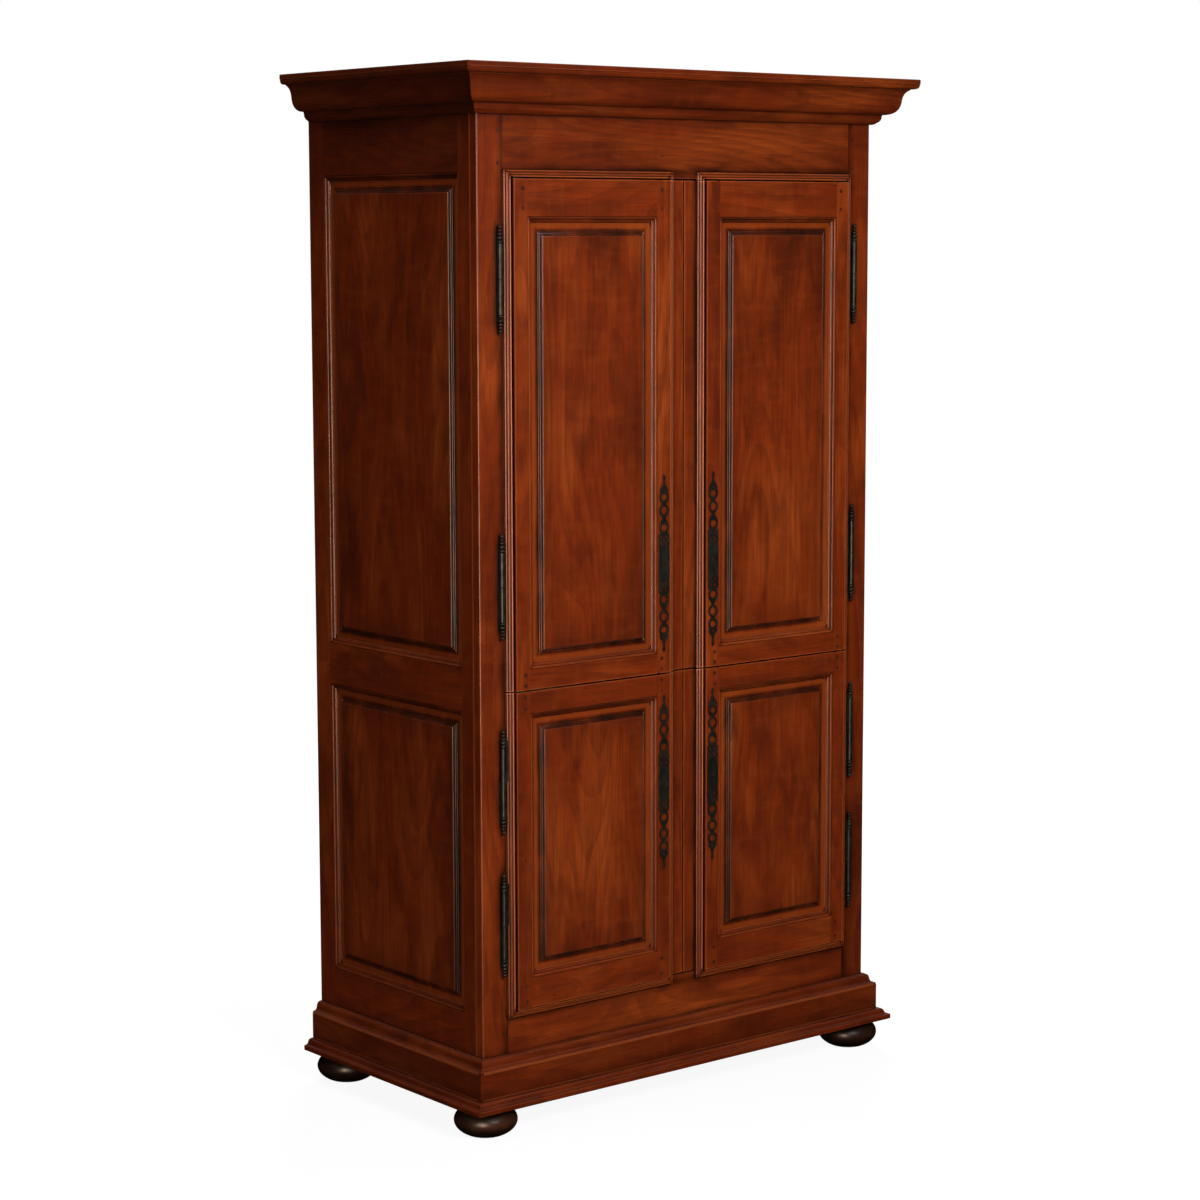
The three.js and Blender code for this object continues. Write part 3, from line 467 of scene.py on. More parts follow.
def joined_at(piece, axis, place, within=0.0015, mark="joined"):
    """Marks the edge by which a piece meets the next one: joined, so its crest is never lightened, or given
    painted shade.
    """
    layer = mark_layer(piece, mark)
    for vertex in piece.data.vertices:
        if abs(vertex.co.dot(axis) - place) < within:
            layer.data[vertex.index].value = 1
    return piece


def painted_shade_beside(piece, axis, place, fade):
    """Painted shade along a moulding's foot, fading out a little way to both sides of it."""
    pick(piece)
    whole_in_edit()
    for cut in (place, place + fade):
        sawn(axis * cut, axis)
    bpy.ops.object.mode_set(mode="OBJECT")
    smoothed(piece)
    layer = mark_layer(piece, "painted_shade")
    for vertex in piece.data.vertices:
        off = abs((vertex.co.dot(axis) - place) / fade)
        layer.data[vertex.index].value = max(layer.data[vertex.index].value, 1 - off)
    return piece


upright_grain, level_grain, deep_grain = 0, 1, 2
next_board, twin_board = 0.618, 0.271
boards_cut = 0


def from_new_board(piece, grain):
    """Gives a piece its grain and a board of its own."""
    global boards_cut
    boards_cut += 1
    marked(piece, "grain", grain)
    return marked(piece, "board", boards_cut * next_board)


def one_piece(name, parts):
    """Parts glued up into one piece."""
    put_down()
    for part in parts:
        part.select_set(True)
    bpy.context.view_layer.objects.active = parts[0]
    bpy.ops.object.join()
    parts[0].name = parts[0].data.name = name
    return smoothed(parts[0])


def fitted(piece, body, slot, finish, *nodes):
    """A finished piece on its body, in its finish, standing for its CAD nodes."""
    piece.data.materials.clear()
    piece.data.materials.append(finish)
    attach(piece, body)
    if nodes:
        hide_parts(*nodes)


def copied(piece, name):
    """The same piece again, with a mesh of its own."""
    pick(piece)
    bpy.ops.object.duplicate()
    return just_made(name)


def mirrored(piece, name):
    """The same piece for the other side, its faces outwards and its grain its own."""
    twin = copied(piece, name)
    whole_in_edit()
    bpy.ops.transform.resize(value=(-1, 1, 1), center_override=(0, 0, 0))
    bpy.ops.mesh.flip_normals()
    bpy.ops.object.mode_set(mode="OBJECT")
    if "board" in twin.data.attributes:
        for number in twin.data.attributes["board"].data:
            number.value += twin_board
    return smoothed(twin)


def both_sides(piece, body, slot, finish, *nodes):
    """A left-hand piece and its right-hand twin, each fitted."""
    twin = mirrored(piece, piece.name.replace("left", "right"))
    fitted(piece, body, slot, finish, *nodes)
    fitted(twin, body.replace("left", "right"), slot, finish, *[node.replace("left", "right") for node in nodes])


sticking_width, sticking_depth = 0.012, 0.0097
tongue_length, tongue_thickness, tongue_slack = 0.007, 0.008, 0.001
margin_width, shoulder_width, field_drop = 0.0165, 0.013, 0.002
seat = 0.0003
sticking_shares = [
    (0, 0), (0.02, 0.15), (0.04, 0.2), (0.06, 0.08), (0.08, 0.05, 0.2, 0.06), (0.4, 0.08, 0.44, 0.3),
    (0.455, 0.44), (0.5, 0.38), (0.56, 0.38), (0.86, 0.42, 0.96, 0.8), (1, 1),
]
shoulder_shares = [
    (0, 0), (0.03, 0.2), (0.05, 0.34, 0.15, 0.34), (0.21, 0.26), (0.44, 0.3, 0.47, 0.66), (0.49, 0.8),
    (0.6, 0.84), (0.66, 0.78), (0.72, 1, 1, 1),
]
shaded_border, shoulder_painted_shade_share, outer_edge = 0.045, 0.7, 0.0003
# Painted shade on the sticking's top length, which faces down, and across the ends of a panel's shoulder.
sticking_top_painted_shade, shoulder_painted_shade = 0.75, 0.95


def panel_rectangle(panel_node, across):
    """Outer edge of the moulding round a panel, from the panel's own box: low and high, along across and Z."""
    low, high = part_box(panel_node)
    reach = sticking_width - tongue_length
    return low.dot(across) - reach, high.dot(across) + reach, low.z - reach, high.z + reach


def sticking(name, rectangle, across, outward, face, thickness):
    """The moulded inner edge of a frame: four mitred lengths with a groove for the panel."""
    left, right, bottom, top = rectangle
    groove_floor = sticking_width - tongue_length - tongue_slack
    groove_back = -sticking_depth - tongue_thickness - 2 * seat
    section = [Vector((point.x, -point.y)) for point in outline(sticking_shares, sticking_width, sticking_depth)]
    section += [Vector(point) for point in (
        (groove_floor, -sticking_depth), (groove_floor, groove_back), (sticking_width, groove_back),
        (sticking_width, -thickness), (0, -thickness))]
    plane = outward * face
    places = ((left, bottom), (right, bottom), (right, top), (left, top))
    corners = [plane + across * aside + Z * height for aside, height in places]
    sideways = level_grain if across == X else deep_grain
    lengths = []
    for place, inwards in enumerate((Z, -across, -Z, across)):
        start, end = corners[place], corners[(place + 1) % 4]
        length = moulding(f"{name}_{place}", section, start, end, inwards, outward, (1, 1))
        joined_at(length, inwards, start.dot(inwards), outer_edge)
        # The top length, facing down, gets painted shade.
        marked(length, "painted_shade", sticking_top_painted_shade if inwards == -Z else 0)
        lengths.append(from_new_board(length, upright_grain if place % 2 else sideways))
    return one_piece(name, lengths)


def raised_panel(name, panel_node, across, outward, face):
    """A panel worked from one board: tongue, pale flat margin, moulded shoulder with painted shade across its
    ends, and a field that darkens to its edge."""
    left, right, bottom, top = panel_rectangle(panel_node, across)
    inset = sticking_width - tongue_length
    front = face - sticking_depth - seat
    low = across * (left + inset) + Z * (bottom + inset) + outward * (front - tongue_thickness)
    high = across * (right - inset) + Z * (top - inset) + outward * front
    piece = block(name, low, high)
    bpy.ops.object.mode_set(mode="EDIT")
    bpy.ops.mesh.select_mode(type="FACE")
    edit = bmesh.from_edit_mesh(piece.data)
    for side in edit.faces:
        side.select_set(side.normal.dot(outward) > 0.9)
    bmesh.update_edit_mesh(piece.data)
    rise = sticking_depth + seat - field_drop
    bpy.ops.mesh.inset(thickness=tongue_length + margin_width / 2, depth=0)
    bpy.ops.mesh.inset(thickness=margin_width / 2, depth=0)
    steps = outline(shoulder_shares, shoulder_width, rise)
    for before, after in zip(steps, steps[1:]):
        bpy.ops.mesh.inset(thickness=after.x - before.x, depth=after.y - before.y)
    bpy.ops.mesh.inset(thickness=shaded_border, depth=0)
    edit = bmesh.from_edit_mesh(piece.data)
    middle = [vertex.index for side in edit.faces if side.select for vertex in side.verts]
    bpy.ops.object.mode_set(mode="OBJECT")
    marked(piece, "shade", 1)
    marked(piece, "painted_shade", 0)
    shade, painted_shade = mark_layer(piece, "shade").data, mark_layer(piece, "painted_shade").data
    for index in middle:
        shade[index].value = 0
    for vertex in piece.data.vertices:
        aside = min(vertex.co.dot(across) - low.dot(across), high.dot(across) - vertex.co.dot(across))
        upright = min(vertex.co.z - low.z, high.z - vertex.co.z)
        across_edge, along_edge = aside - tongue_length - margin_width, upright - tongue_length - margin_width
        if min(across_edge, along_edge) < -touching:
            shade[vertex.index].value = -1
        # Painted shade across the top and bottom shoulders.
        elif along_edge < shoulder_width * shoulder_painted_shade_share:
            painted_shade[vertex.index].value = shoulder_painted_shade
    return from_new_board(smoothed(piece), upright_grain)


case_wood = stained_wood(
    "case_wood", (72, 24, 9), (124, 43, 11), (154, 65, 21), (24, 8, 4), (180, 86, 36))

side_low, side_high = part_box("side_frame_left")
side_face = -side_low.x
side_thickness = side_high.x - side_low.x
upper_rectangle = panel_rectangle("side_panel_left_upper", Y)
lower_rectangle = panel_rectangle("side_panel_left_lower", Y)
stile_front, stile_rear = upper_rectangle[0], upper_rectangle[1]
rebate_width = 0.01
rebate_front = side_high.y - rebate_width
hairline, tenon, top_rail_painted_shadow = 0.0001, 0.006, 2

rebate_floor = -side_high.x + rebate_width
rear_stile_plan = [
    (-side_low.x, stile_rear), (-side_high.x, stile_rear), (-side_high.x, rebate_front),
    (rebate_floor, rebate_front), (rebate_floor, side_high.y), (-side_low.x, side_high.y),
]
rear_stile = moulding("side_left_rear_stile", rear_stile_plan, Z * side_low.z, Z * side_high.z, -X, Y)
front_stile = board("side_left_front_stile", side_low, (side_high.x, stile_front, side_high.z))
side_boards = [
    (joined_at(eased(rear_stile, wood_ease), Y, stile_rear), upright_grain),
    (joined_at(front_stile, Y, stile_front), upright_grain),
]
rail_heights = {
    "bottom": (side_low.z, lower_rectangle[2]),
    "middle": (lower_rectangle[3], upper_rectangle[2]),
    "top": (upper_rectangle[3], side_high.z),
}
for place, (bottom, top) in rail_heights.items():
    rail = board(f"side_left_{place}_rail", (side_low.x + hairline, stile_front - tenon, bottom),
                 (side_high.x - hairline, stile_rear + tenon, top))
    for panel_edge in lower_rectangle[2:] + upper_rectangle[2:]:
        joined_at(rail, Z, panel_edge)
    # The top rail darker with painted shadow from the cornice above it.
    side_boards.append((marked(rail, "shade", top_rail_painted_shadow if place == "top" else 0), deep_grain))
for piece, grain in side_boards:
    both_sides(from_new_board(piece, grain), "carcase", "side_wood", case_wood, "side_frame_left")
for tier, rectangle in (("upper", upper_rectangle), ("lower", lower_rectangle)):
    edge = sticking(f"side_left_{tier}_sticking", rectangle, Y, -X, side_face, side_thickness)
    both_sides(edge, "carcase", "side_wood", case_wood, "side_frame_left")
    node = f"side_panel_left_{tier}"
    panel = raised_panel(f"side_left_{tier}_raised_panel", node, Y, -X, side_face)
    both_sides(panel, "carcase", "side_wood", case_wood, node)


# Face frame: stiles and rails in the same wood, the stiles' outer edges rounded. The rails are tenoned between
# the stiles and pegged, and a strip under the surround moulding brings each stile to the opening.
stile_low, stile_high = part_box("face_stile_left")
strip_width = 0.011
joint_x = stile_high.x - strip_width
corner_round = 0.0035
corner_steps = 6
stile_plan = [(joint_x, stile_low.y), (joint_x, stile_high.y), (stile_low.x, stile_high.y)]
for step in range(corner_steps + 1):
    turn = math.pi + step / corner_steps * math.pi / 2
    stile_plan.append((
        stile_low.x + corner_round * (1 + math.cos(turn)),
        stile_low.y + corner_round * (1 + math.sin(turn)),
    ))
stile = moulding("face_left_stile", stile_plan, Z * stile_low.z, Z * stile_high.z, X, Y)
surround_low, surround_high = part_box("surround_moulding_left")
painted_shade_width, frieze_painted_shade = 0.02, 1
# Painted shade on the stile along the outer edge of the surround moulding.
stile = painted_shade_beside(smoothed(stile), X, surround_low.x, -painted_shade_width)
stile = joined_at(stile, X, joint_x)
both_sides(from_new_board(stile, upright_grain), "carcase", "front_wood", case_wood, "face_stile_left")
peg_wood = stained_wood(
    "peg_wood", (46, 17, 7), (74, 28, 10), (100, 42, 15), (24, 8, 4), (100, 42, 15),
    roughness=0.45, figure=0.6, rub_and_highlight_strength=0, polish=0)
peg_radius, peg_length, peg_proud, peg_ease, peg_inset = 0.0042, 0.006, 0.0002, 0.0005, 0.0125
peg_shares = (0.22, 0.74)


def pegs(name, x, face, rail_bottom, rail_top, body):
    """Two round pegs through a stile, hardly proud of its face, level with the rail's tenon."""
    pair = []
    for share in peg_shares:
        put_down()
        bpy.ops.mesh.primitive_cylinder_add(
            vertices=24, radius=peg_radius, depth=peg_length, rotation=(math.pi / 2, 0, 0),
            location=(x, face + peg_length / 2 - peg_proud, rail_bottom + (rail_top - rail_bottom) * share))
        settled()
        pair.append(from_new_board(eased(bpy.context.object, peg_ease), deep_grain))
    both_sides(one_piece(name, pair), body, "front_wood", peg_wood)


for place in ("top", "bottom"):
    low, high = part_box(f"face_rail_{place}")
    low.x, high.x = joint_x - tenon, -joint_x + tenon
    low.y, high.y = low.y + hairline, high.y - hairline
    rail = board(f"face_{place}_rail", low, high)
    if place == "top":
        # Painted shade along the top of the surround moulding, and the whole frieze darker with painted shade.
        marked(painted_shade_beside(rail, Z, surround_high.z, painted_shade_width), "shade", frieze_painted_shade)
        high.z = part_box("cornice_front")[0].z
    else:
        # Painted shade on the bottom rail below the lower doors.
        painted_shade_beside(rail, Z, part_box("lower_door_left_frame")[0].z, -painted_shade_width)
    fitted(from_new_board(rail, level_grain), "carcase", "front_wood", case_wood, f"face_rail_{place}")
    pegs(f"face_left_{place}_pegs", joint_x - peg_inset, stile_low.y, low.z, high.z, "carcase")
strip_low = (joint_x + hairline, stile_low.y + hairline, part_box("face_rail_bottom")[1].z + seat)
strip_high = (stile_high.x, stile_high.y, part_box("face_rail_top")[0].z - seat)
strip = board("face_left_opening_strip", strip_low, strip_high)
both_sides(from_new_board(strip, upright_grain), "carcase", "front_wood", case_wood, "face_stile_left")


# Cornice: a crown moulding of solid wood with a cove between two beads, fixed round the top. Its three lengths
# are mitred at the front corners and cut square at the back.
cornice_shares = [
    (0.03, -0.017), (0.1, -0.015, 0.134, 0.021), (0.2, 0.05, 0.227, 0.102), (0.235, 0.15), (0.249, 0.201),
    (0.286, 0.203), (0.584, 0.207, 0.63, 0.484), (0.643, 0.702, 0.805, 0.766), (0.805, 0.779), (0.89, 0.782),
    (0.981, 0.789, 0.99, 0.878), (0.985, 0.894), (1, 0.894), (1, 0.984), (0.987, 1),
]
cornice_low, cornice_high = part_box("cornice_front")
cornice_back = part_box("cornice_left")[1].y
cornice_out = side_low.x - cornice_low.x
cornice_rise, cornice_painted_shades = 0.094, (1.2, 2.4)
cornice_foot = cornice_high.z - cornice_rise
cornice_face = outline(cornice_shares, cornice_out, cornice_rise)
cornice_section = [Vector((seat, cornice_face[0].y)), *cornice_face, Vector((seat, cornice_rise))]
face_plane = stile_low.y


def mitred_run(group, part, section, foot, back, painted_shades):
    """One moulding along the front and, mitred to it, back along both sides, with an amount of painted shade for
    each way.
    """
    corner, far_corner = Vector((side_low.x, face_plane, foot)), Vector((-side_low.x, face_plane, foot))
    front = moulding(f"{group}_front_{part}", section, corner, far_corner, -Y, Z, (-1, -1))
    front = from_new_board(smoothed(marked(front, "shade", painted_shades[0])), level_grain)
    fitted(front, "carcase", "moulding_wood", case_wood, f"{group}_front")
    end = Vector((side_low.x, back, foot))
    left = moulding(f"{group}_left_{part}", section, corner, end, -X, Z, (-1, 0))
    left = from_new_board(smoothed(marked(left, "shade", painted_shades[1])), deep_grain)
    both_sides(left, "carcase", "moulding_wood", case_wood, f"{group}_left")


mitred_run("cornice", "run", cornice_section, cornice_foot, cornice_back, cornice_painted_shades)


# Plinth: a projecting ledge of solid wood, a plain base board standing on it and a moulded cap, all three
# mitred at the front corners.
plinth_low, plinth_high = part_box("plinth_front")
ledge_out = side_low.x - plinth_low.x
base_out, ledge_rise, cap_rise, flange = 0.0234, 0.0243, 0.024, 0.075
plinth_painted_shades = (1.2, 1.3)
ledge_shares = [
    (0.888, 0), (1, 0, 1, 0.14), (1, 0.4), (0.985, 0.43), (0.95, 0.46), (0.63, 0.47, 0.565, 0.7),
    (0.5, 0.97, 0.198, 1),
]
cap_shares = [
    (1, 0), (0.94, 0.03), (0.94, 0.05), (1.02, 0.09, 0.96, 0.14), (0.92, 0.15), (0.9, 0.17),
    (0.55, 0.2, 0.53, 0.54), (0.49, 0.92, 0.235, 0.96), (0.18, 1),
]
ledge_face = outline(ledge_shares, ledge_out - base_out, ledge_rise)
ledge_section = [Vector((-flange, 0))] + [Vector((base_out + point.x, point.y)) for point in ledge_face]
ledge_section += [Vector((-flange, ledge_rise))]
cap_foot = plinth_high.z - plinth_low.z - cap_rise
base_section = [Vector(point) for point in (
    (seat, ledge_rise), (base_out, ledge_rise), (base_out, cap_foot), (seat, cap_foot))]
cap_face = [Vector((point.x, cap_foot + point.y)) for point in outline(cap_shares, base_out, cap_rise)]
cap_section = [Vector((seat, cap_foot)), *cap_face, Vector((seat, cap_foot + cap_rise))]
for part, section in (("ledge", ledge_section), ("base_board", base_section), ("cap", cap_section)):
    mitred_run("plinth", part, section, plinth_low.z, side_high.y, plinth_painted_shades)


# Bun feet: turned from solid wood and stained nearly black, flat where they stand and where they are fixed
# under the plinth.
foot_wood = stained_wood(
    "foot_wood", (32, 17, 12), (54, 28, 18), (84, 46, 29), (16, 9, 6), (84, 46, 29),
    roughness=0.34, figure=0.6, rub_and_highlight_strength=0.1, polish=0)
foot_low, foot_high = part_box("foot_front_left")
foot_middle = (foot_low + foot_high) / 2
foot_radius = (foot_high.x - foot_low.x) / 2
height_share, foot_ease = 0.8, 0.001
ball_squash = (foot_high.z - foot_low.z) / 2 / foot_radius / height_share
put_down()
bpy.ops.mesh.primitive_uv_sphere_add(segments=72, ring_count=48, radius=foot_radius, location=foot_middle)
foot = just_made("left_front_bun_foot")
bpy.ops.transform.resize(value=(1, 1, ball_squash))
settled()
whole_in_edit()
for height, way in ((foot_low.z, -1), (foot_high.z, 1)):
    sawn(Z * height, Z * way, off=True)
bpy.ops.object.mode_set(mode="OBJECT")
from_new_board(eased(foot, foot_ease), upright_grain)
rear_foot = copied(foot, "left_rear_bun_foot")
rear_foot.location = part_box("foot_rear_left")[0] - foot_low
settled()
both_sides(foot, "carcase", "foot_wood", foot_wood, "foot_front_left")
both_sides(rear_foot, "carcase", "foot_wood", foot_wood, "foot_rear_left")


# Moulding round the upper doors: solid wood planted on the face frame, up the stile, along the rail and down
# at the centre, where it is cut just above the doors' own lip.
lip_width, lip_proud = 0.014, 0.012
lip_shares = [
    (0, 0.8), (0, 1, 0.1, 1), (0.21, 1, 0.26, 0.76), (0.275, 0.7), (0.285, 0.7), (0.3, 0.87, 0.42, 0.87),
    (0.62, 0.86, 0.72, 0.56), (0.735, 0.5), (0.75, 0.5), (0.77, 0.6, 0.84, 0.6), (0.96, 0.58, 1, 0.42),
]


def lip_run(section, lengths):
    """Lip moulding by its lengths: start, end, way to its outer edge, cuts and grain."""
    return [from_new_board(moulding("lip", section, start, end, out, -Y, cuts), grain)
            for start, end, out, cuts, grain in lengths]


lip_face = outline(lip_shares, lip_width, lip_proud)
lip_section = [Vector((0, seat)), *lip_face, Vector((lip_width, seat))]
inner_x = surround_low.x + lip_width
inner_top = surround_high.z - lip_width
centre_x = surround_high.x - lip_width
return_drop = 0.001
foot_point = Vector((inner_x, face_plane, surround_low.z))
top_corner = Vector((inner_x, face_plane, inner_top))
centre_corner = Vector((centre_x, face_plane, inner_top))
return_end = centre_corner - Z * return_drop
surround = one_piece("surround_left_run", lip_run(lip_section, (
    (foot_point, top_corner, -X, (0, -1), upright_grain),
    (top_corner, centre_corner, Z, (-1, -1), level_grain),
    (centre_corner, return_end, X, (-1, 0), upright_grain),
)))
both_sides(surround, "carcase", "moulding_wood", case_wood, "surround_moulding_left")


# Doors: each a framed leaf of four members round a raised panel, with a lip moulding on the closing edge and,
# on the lower doors, on the hinge and bottom edges too, where it laps over the face frame.
door_wood = stained_wood(
    "door_wood", (74, 25, 9), (127, 45, 12), (157, 68, 23), (24, 8, 4), (180, 86, 36))
quirk_width, quirk_floor = 0.003, 0.008
strip_edge = 0.0325
face_edge = strip_edge + lip_width + quirk_width
running, strip_ease, strip_painted_shade_width, gap_painted_shade_reach = 0.0005, 0.0012, 0.01, 0.0002
lip_on_leaf = [Vector((lip_width - point.x, point.y)) for point in reversed(lip_face)]
leaf_lip_section = [
    Vector((0, running)), *lip_on_leaf, Vector((lip_width, quirk_floor)),
    Vector((lip_width + quirk_width, quirk_floor)), Vector((lip_width + quirk_width, running)),
]
for tier in ("upper", "lower"):
    body = f"{tier}_left_leaf"
    frame_node, panel_node = f"{tier}_door_left_frame", f"{tier}_door_left_panel"
    low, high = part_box(frame_node)
    face = -low.y
    thickness = high.y - low.y
    rectangle = panel_rectangle(panel_node, X)
    lapped = tier == "lower"
    lap = lip_width + quirk_width if lapped else 0
    hinge_edge, foot_edge = low.x + lap, low.z + lap
    members = {
        "hinge_stile": ((hinge_edge, foot_edge), (rectangle[0], high.z), upright_grain),
        "closing_stile": ((rectangle[1], foot_edge), (-face_edge, high.z), upright_grain),
        "bottom_rail": ((rectangle[0] - tenon, foot_edge), (rectangle[1] + tenon, rectangle[2]), level_grain),
        "top_rail": ((rectangle[0] - tenon, rectangle[3]), (rectangle[1] + tenon, high.z), level_grain),
    }
    for member, ((x0, z0), (x1, z1), grain) in members.items():
        sunk = hairline if grain == level_grain else 0
        piece = board(f"{tier}_left_{member}", (x0, low.y + sunk, z0), (x1, high.y - sunk, z1))
        for axis, edges in ((X, rectangle[:2]), (Z, rectangle[2:])):
            for place in edges:
                joined_at(piece, axis, place)
        # Painted shade on the top and bottom edges, in the gaps above and below the leaf.
        for place in (low.z, high.z):
            joined_at(piece, Z, place, gap_painted_shade_reach, "painted_shade")
        both_sides(from_new_board(piece, grain), body, "front_wood", door_wood, frame_node)
    for place, rail_bottom, rail_top in (("top", rectangle[3], high.z), ("bottom", foot_edge, rectangle[2])):
        for side, x in (("hinge", rectangle[0] - peg_inset), ("closing", rectangle[1] + peg_inset)):
            pegs(f"{tier}_left_{place}_{side}_pegs", x, low.y, rail_bottom, rail_top, body)
    strip = board(f"{tier}_left_closing_strip", (-face_edge, face_plane, foot_edge), high, strip_ease)
    # Painted shade on the strip along the foot of the lip moulding.
    painted_shade_beside(strip, X, -strip_edge, strip_painted_shade_width)
    both_sides(from_new_board(strip, upright_grain), body, "front_wood", door_wood, frame_node)
    edge = sticking(f"{tier}_left_sticking", rectangle, X, -Y, face, thickness)
    both_sides(edge, body, "front_wood", door_wood, frame_node)
    panel = raised_panel(f"{tier}_left_raised_panel", panel_node, X, -Y, face)
    both_sides(panel, body, "front_wood", door_wood, panel_node)
    strip_top = Vector((-strip_edge, face_plane, high.z))
    strip_foot = Vector((-strip_edge, face_plane, low.z))
    lengths = [(strip_foot, strip_top, -X, (1, 0) if lapped else (0, 0), upright_grain)]
    if lapped:
        outer_foot, outer_top = Vector((low.x, face_plane, low.z)), Vector((low.x, face_plane, high.z))
        lengths.append((outer_foot, outer_top, X, (1, 0), upright_grain))
        lengths.append((outer_foot, strip_foot, Z, (1, 1), level_grain))
    lips = lip_run(leaf_lip_section, lengths)
    # Painted shade on the lip's edge where it stands on the strip.
    joined_at(lips[0], X, -strip_edge, touching, "painted_shade")
    lips = one_piece(f"{tier}_left_lip_moulding", lips)
    both_sides(lips, body, "moulding_wood", case_wood, frame_node)


# Boards inside the cabinet and behind it: deck, shelf, cleats, grooved runners and back panels in plainer
# wood with a thin brown stain, their edges eased.
inner_wood = stained_wood(
    "inner_wood", (70, 36, 20), (108, 60, 34), (140, 86, 50), (34, 18, 11),
    (140, 86, 50), roughness=0.5, figure=0.9, rub_and_highlight_strength=0.2, polish=0.1)
back_wood = stained_wood(
    "back_wood", (62, 38, 24), (92, 60, 38), (120, 84, 54), (34, 22, 15),
    (120, 84, 54), roughness=0.62, figure=0.8, rub_and_highlight_strength=0.1, polish=0)


def eased_copy(name, node, ease):
    """A CAD node's own shape, its points welded and its edges rounded."""
    piece = copied(frame["nodes"][node], name)
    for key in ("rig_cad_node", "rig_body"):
        del piece[key]
    piece.parent = None
    whole_in_edit()
    bpy.ops.mesh.remove_doubles(threshold=0.00001)
    bpy.ops.mesh.dissolve_limited(angle_limit=math.radians(0.5))
    bpy.ops.object.mode_set(mode="OBJECT")
    return eased(piece, ease)


inside_boards = (
    (level_grain, ("bottom_board", "top_board", "tv_deck", "lower_shelf")),
    (deep_grain, ("shelf_cleat_left", "shelf_cleat_right", "pocket_runner_left_lower",
                  "pocket_runner_left_upper", "pocket_runner_right_lower", "pocket_runner_right_upper")),
)
inside_ease, back_ease = 0.0008, 0.0006
for grain, nodes in inside_boards:
    for node in nodes:
        piece = from_new_board(eased_copy(f"{node}_eased", node, inside_ease), grain)
        fitted(piece, "carcase", "inner_wood", inner_wood, node)
for node in ("back_panel_upper", "back_panel_lower"):
    piece = from_new_board(eased_copy(f"{node}_eased", node, back_ease), upright_grain)
    fitted(piece, "carcase", "back_board", back_wood, node)


# Hinges: forged and blackened iron, barrels with turned finials on thin plates. Those beside the upper doors
# are fixed, and those of the lower doors open at the middle, where the moving half turns on the fixed one.
def blackened_iron(name, body, worn, roughness):
    """Black scale over iron, with paler blotches and worn crests."""
    material, tree = bare_material(name)
    body, worn = colour(body), colour(worn)
    place = add_node(tree, "TexCoord").outputs["Object"]
    scale = add_node(tree, "TexNoise", {"Vector": place, "Scale": 260, "Detail": 4, "Roughness": 0.6})
    blotch = add_node(tree, "TexNoise", {"Vector": place, "Scale": 60, "Detail": 3, "Roughness": 0.55})
    shade = laid_on(tree, body, worn, blotch.outputs["Fac"], 0.4, 0.7, 0.6)
    shade = laid_on(tree, shade, worn, shut_in(tree, 0.0012, 6, inside=True), 0.7, 0.25, 0.7)
    bump = add_node(tree, "Bump", {"Height": scale.outputs["Fac"], "Strength": 0.35, "Distance": 0.0004})
    gloss = ranged(tree, scale.outputs["Fac"], 0.3, 0.7, roughness - 0.08, roughness + 0.12)
    finish = add_node(tree, "BsdfPrincipled", {
        "Base Color": shade, "Roughness": gloss, "Normal": bump.outputs[0], "Metallic": 0.2,
        "Specular IOR Level": 0.12})
    add_node(tree, "OutputMaterial", {"Surface": finish.outputs[0]})
    return material


hinge_iron = blackened_iron("hinge_iron", (18, 18, 15), (50, 51, 43), 0.36)
plate_iron = blackened_iron("plate_iron", (22, 22, 19), (46, 46, 40), 0.42)
barrel_radius, barrel_chamfer, barrel_end, split_gap = 0.0055, 0.0004, 0.069, 0.0005
# Beads of the finial, outwards: height of the middle above the split, radius, depth of the curve, half height.
hinge_beads = [
    (0.0725, 0.0065, 0.0024, 0.0026), (0.0805, 0.0065, 0.0036, 0.0036), (0.0880, 0.0057, 0.0032, 0.003),
    (0.0945, 0.0046, 0.0027, 0.0026), (0.1018, 0.0041, 0.0031, 0.0036),
]
hinge_tip = [(barrel_radius, barrel_end)]
bead_steps, bead_turn = 7, 82
for middle_height, bead_radius, bead_depth, bead_half in hinge_beads:
    for step in range(bead_steps + 1):
        turn = math.radians(bead_turn * (2 * step / bead_steps - 1))
        hinge_tip.append((
            bead_radius - bead_depth * (1 - math.cos(turn)), middle_height + bead_half * math.sin(turn)))
hinge_tip += [(0.0008, 0.1062), (0.0007, 0.1074), (0, 0.1079)]


def turned(name, profile, middle, steps=28):
    """A lathe-turned piece: a profile of radius and height, spun round an upright axis."""
    put_down()
    bpy.ops.mesh.primitive_circle_add(vertices=len(profile), fill_type="NOTHING")
    piece = just_made(name)
    for vertex, (radius, height) in zip(piece.data.vertices, profile):
        vertex.co = Vector(middle) + X * radius + Z * height
    whole_in_edit()
    bpy.ops.mesh.spin(steps=steps, angle=2 * math.pi, center=middle, axis=(0, 0, 1))
    bpy.ops.mesh.select_all(action="SELECT")
    bpy.ops.mesh.remove_doubles(threshold=0.000001)
    bpy.ops.mesh.delete_loose()
    faced_out()
    return smoothed(piece)


barrel_inset, barrel_proud, knuckle_drop = 0.0065, 0.008, 0.108
plate_thickness, plate_half, plate_back, plate_ease = 0.001, 0.084, 0.0077, 0.0003
plate_outer, plate_inner, web_half, leaf_half = 0.006, 0.0107, 0.0027, 0.00125
core_half = Vector((0.0024, 0.0024, 0.002))


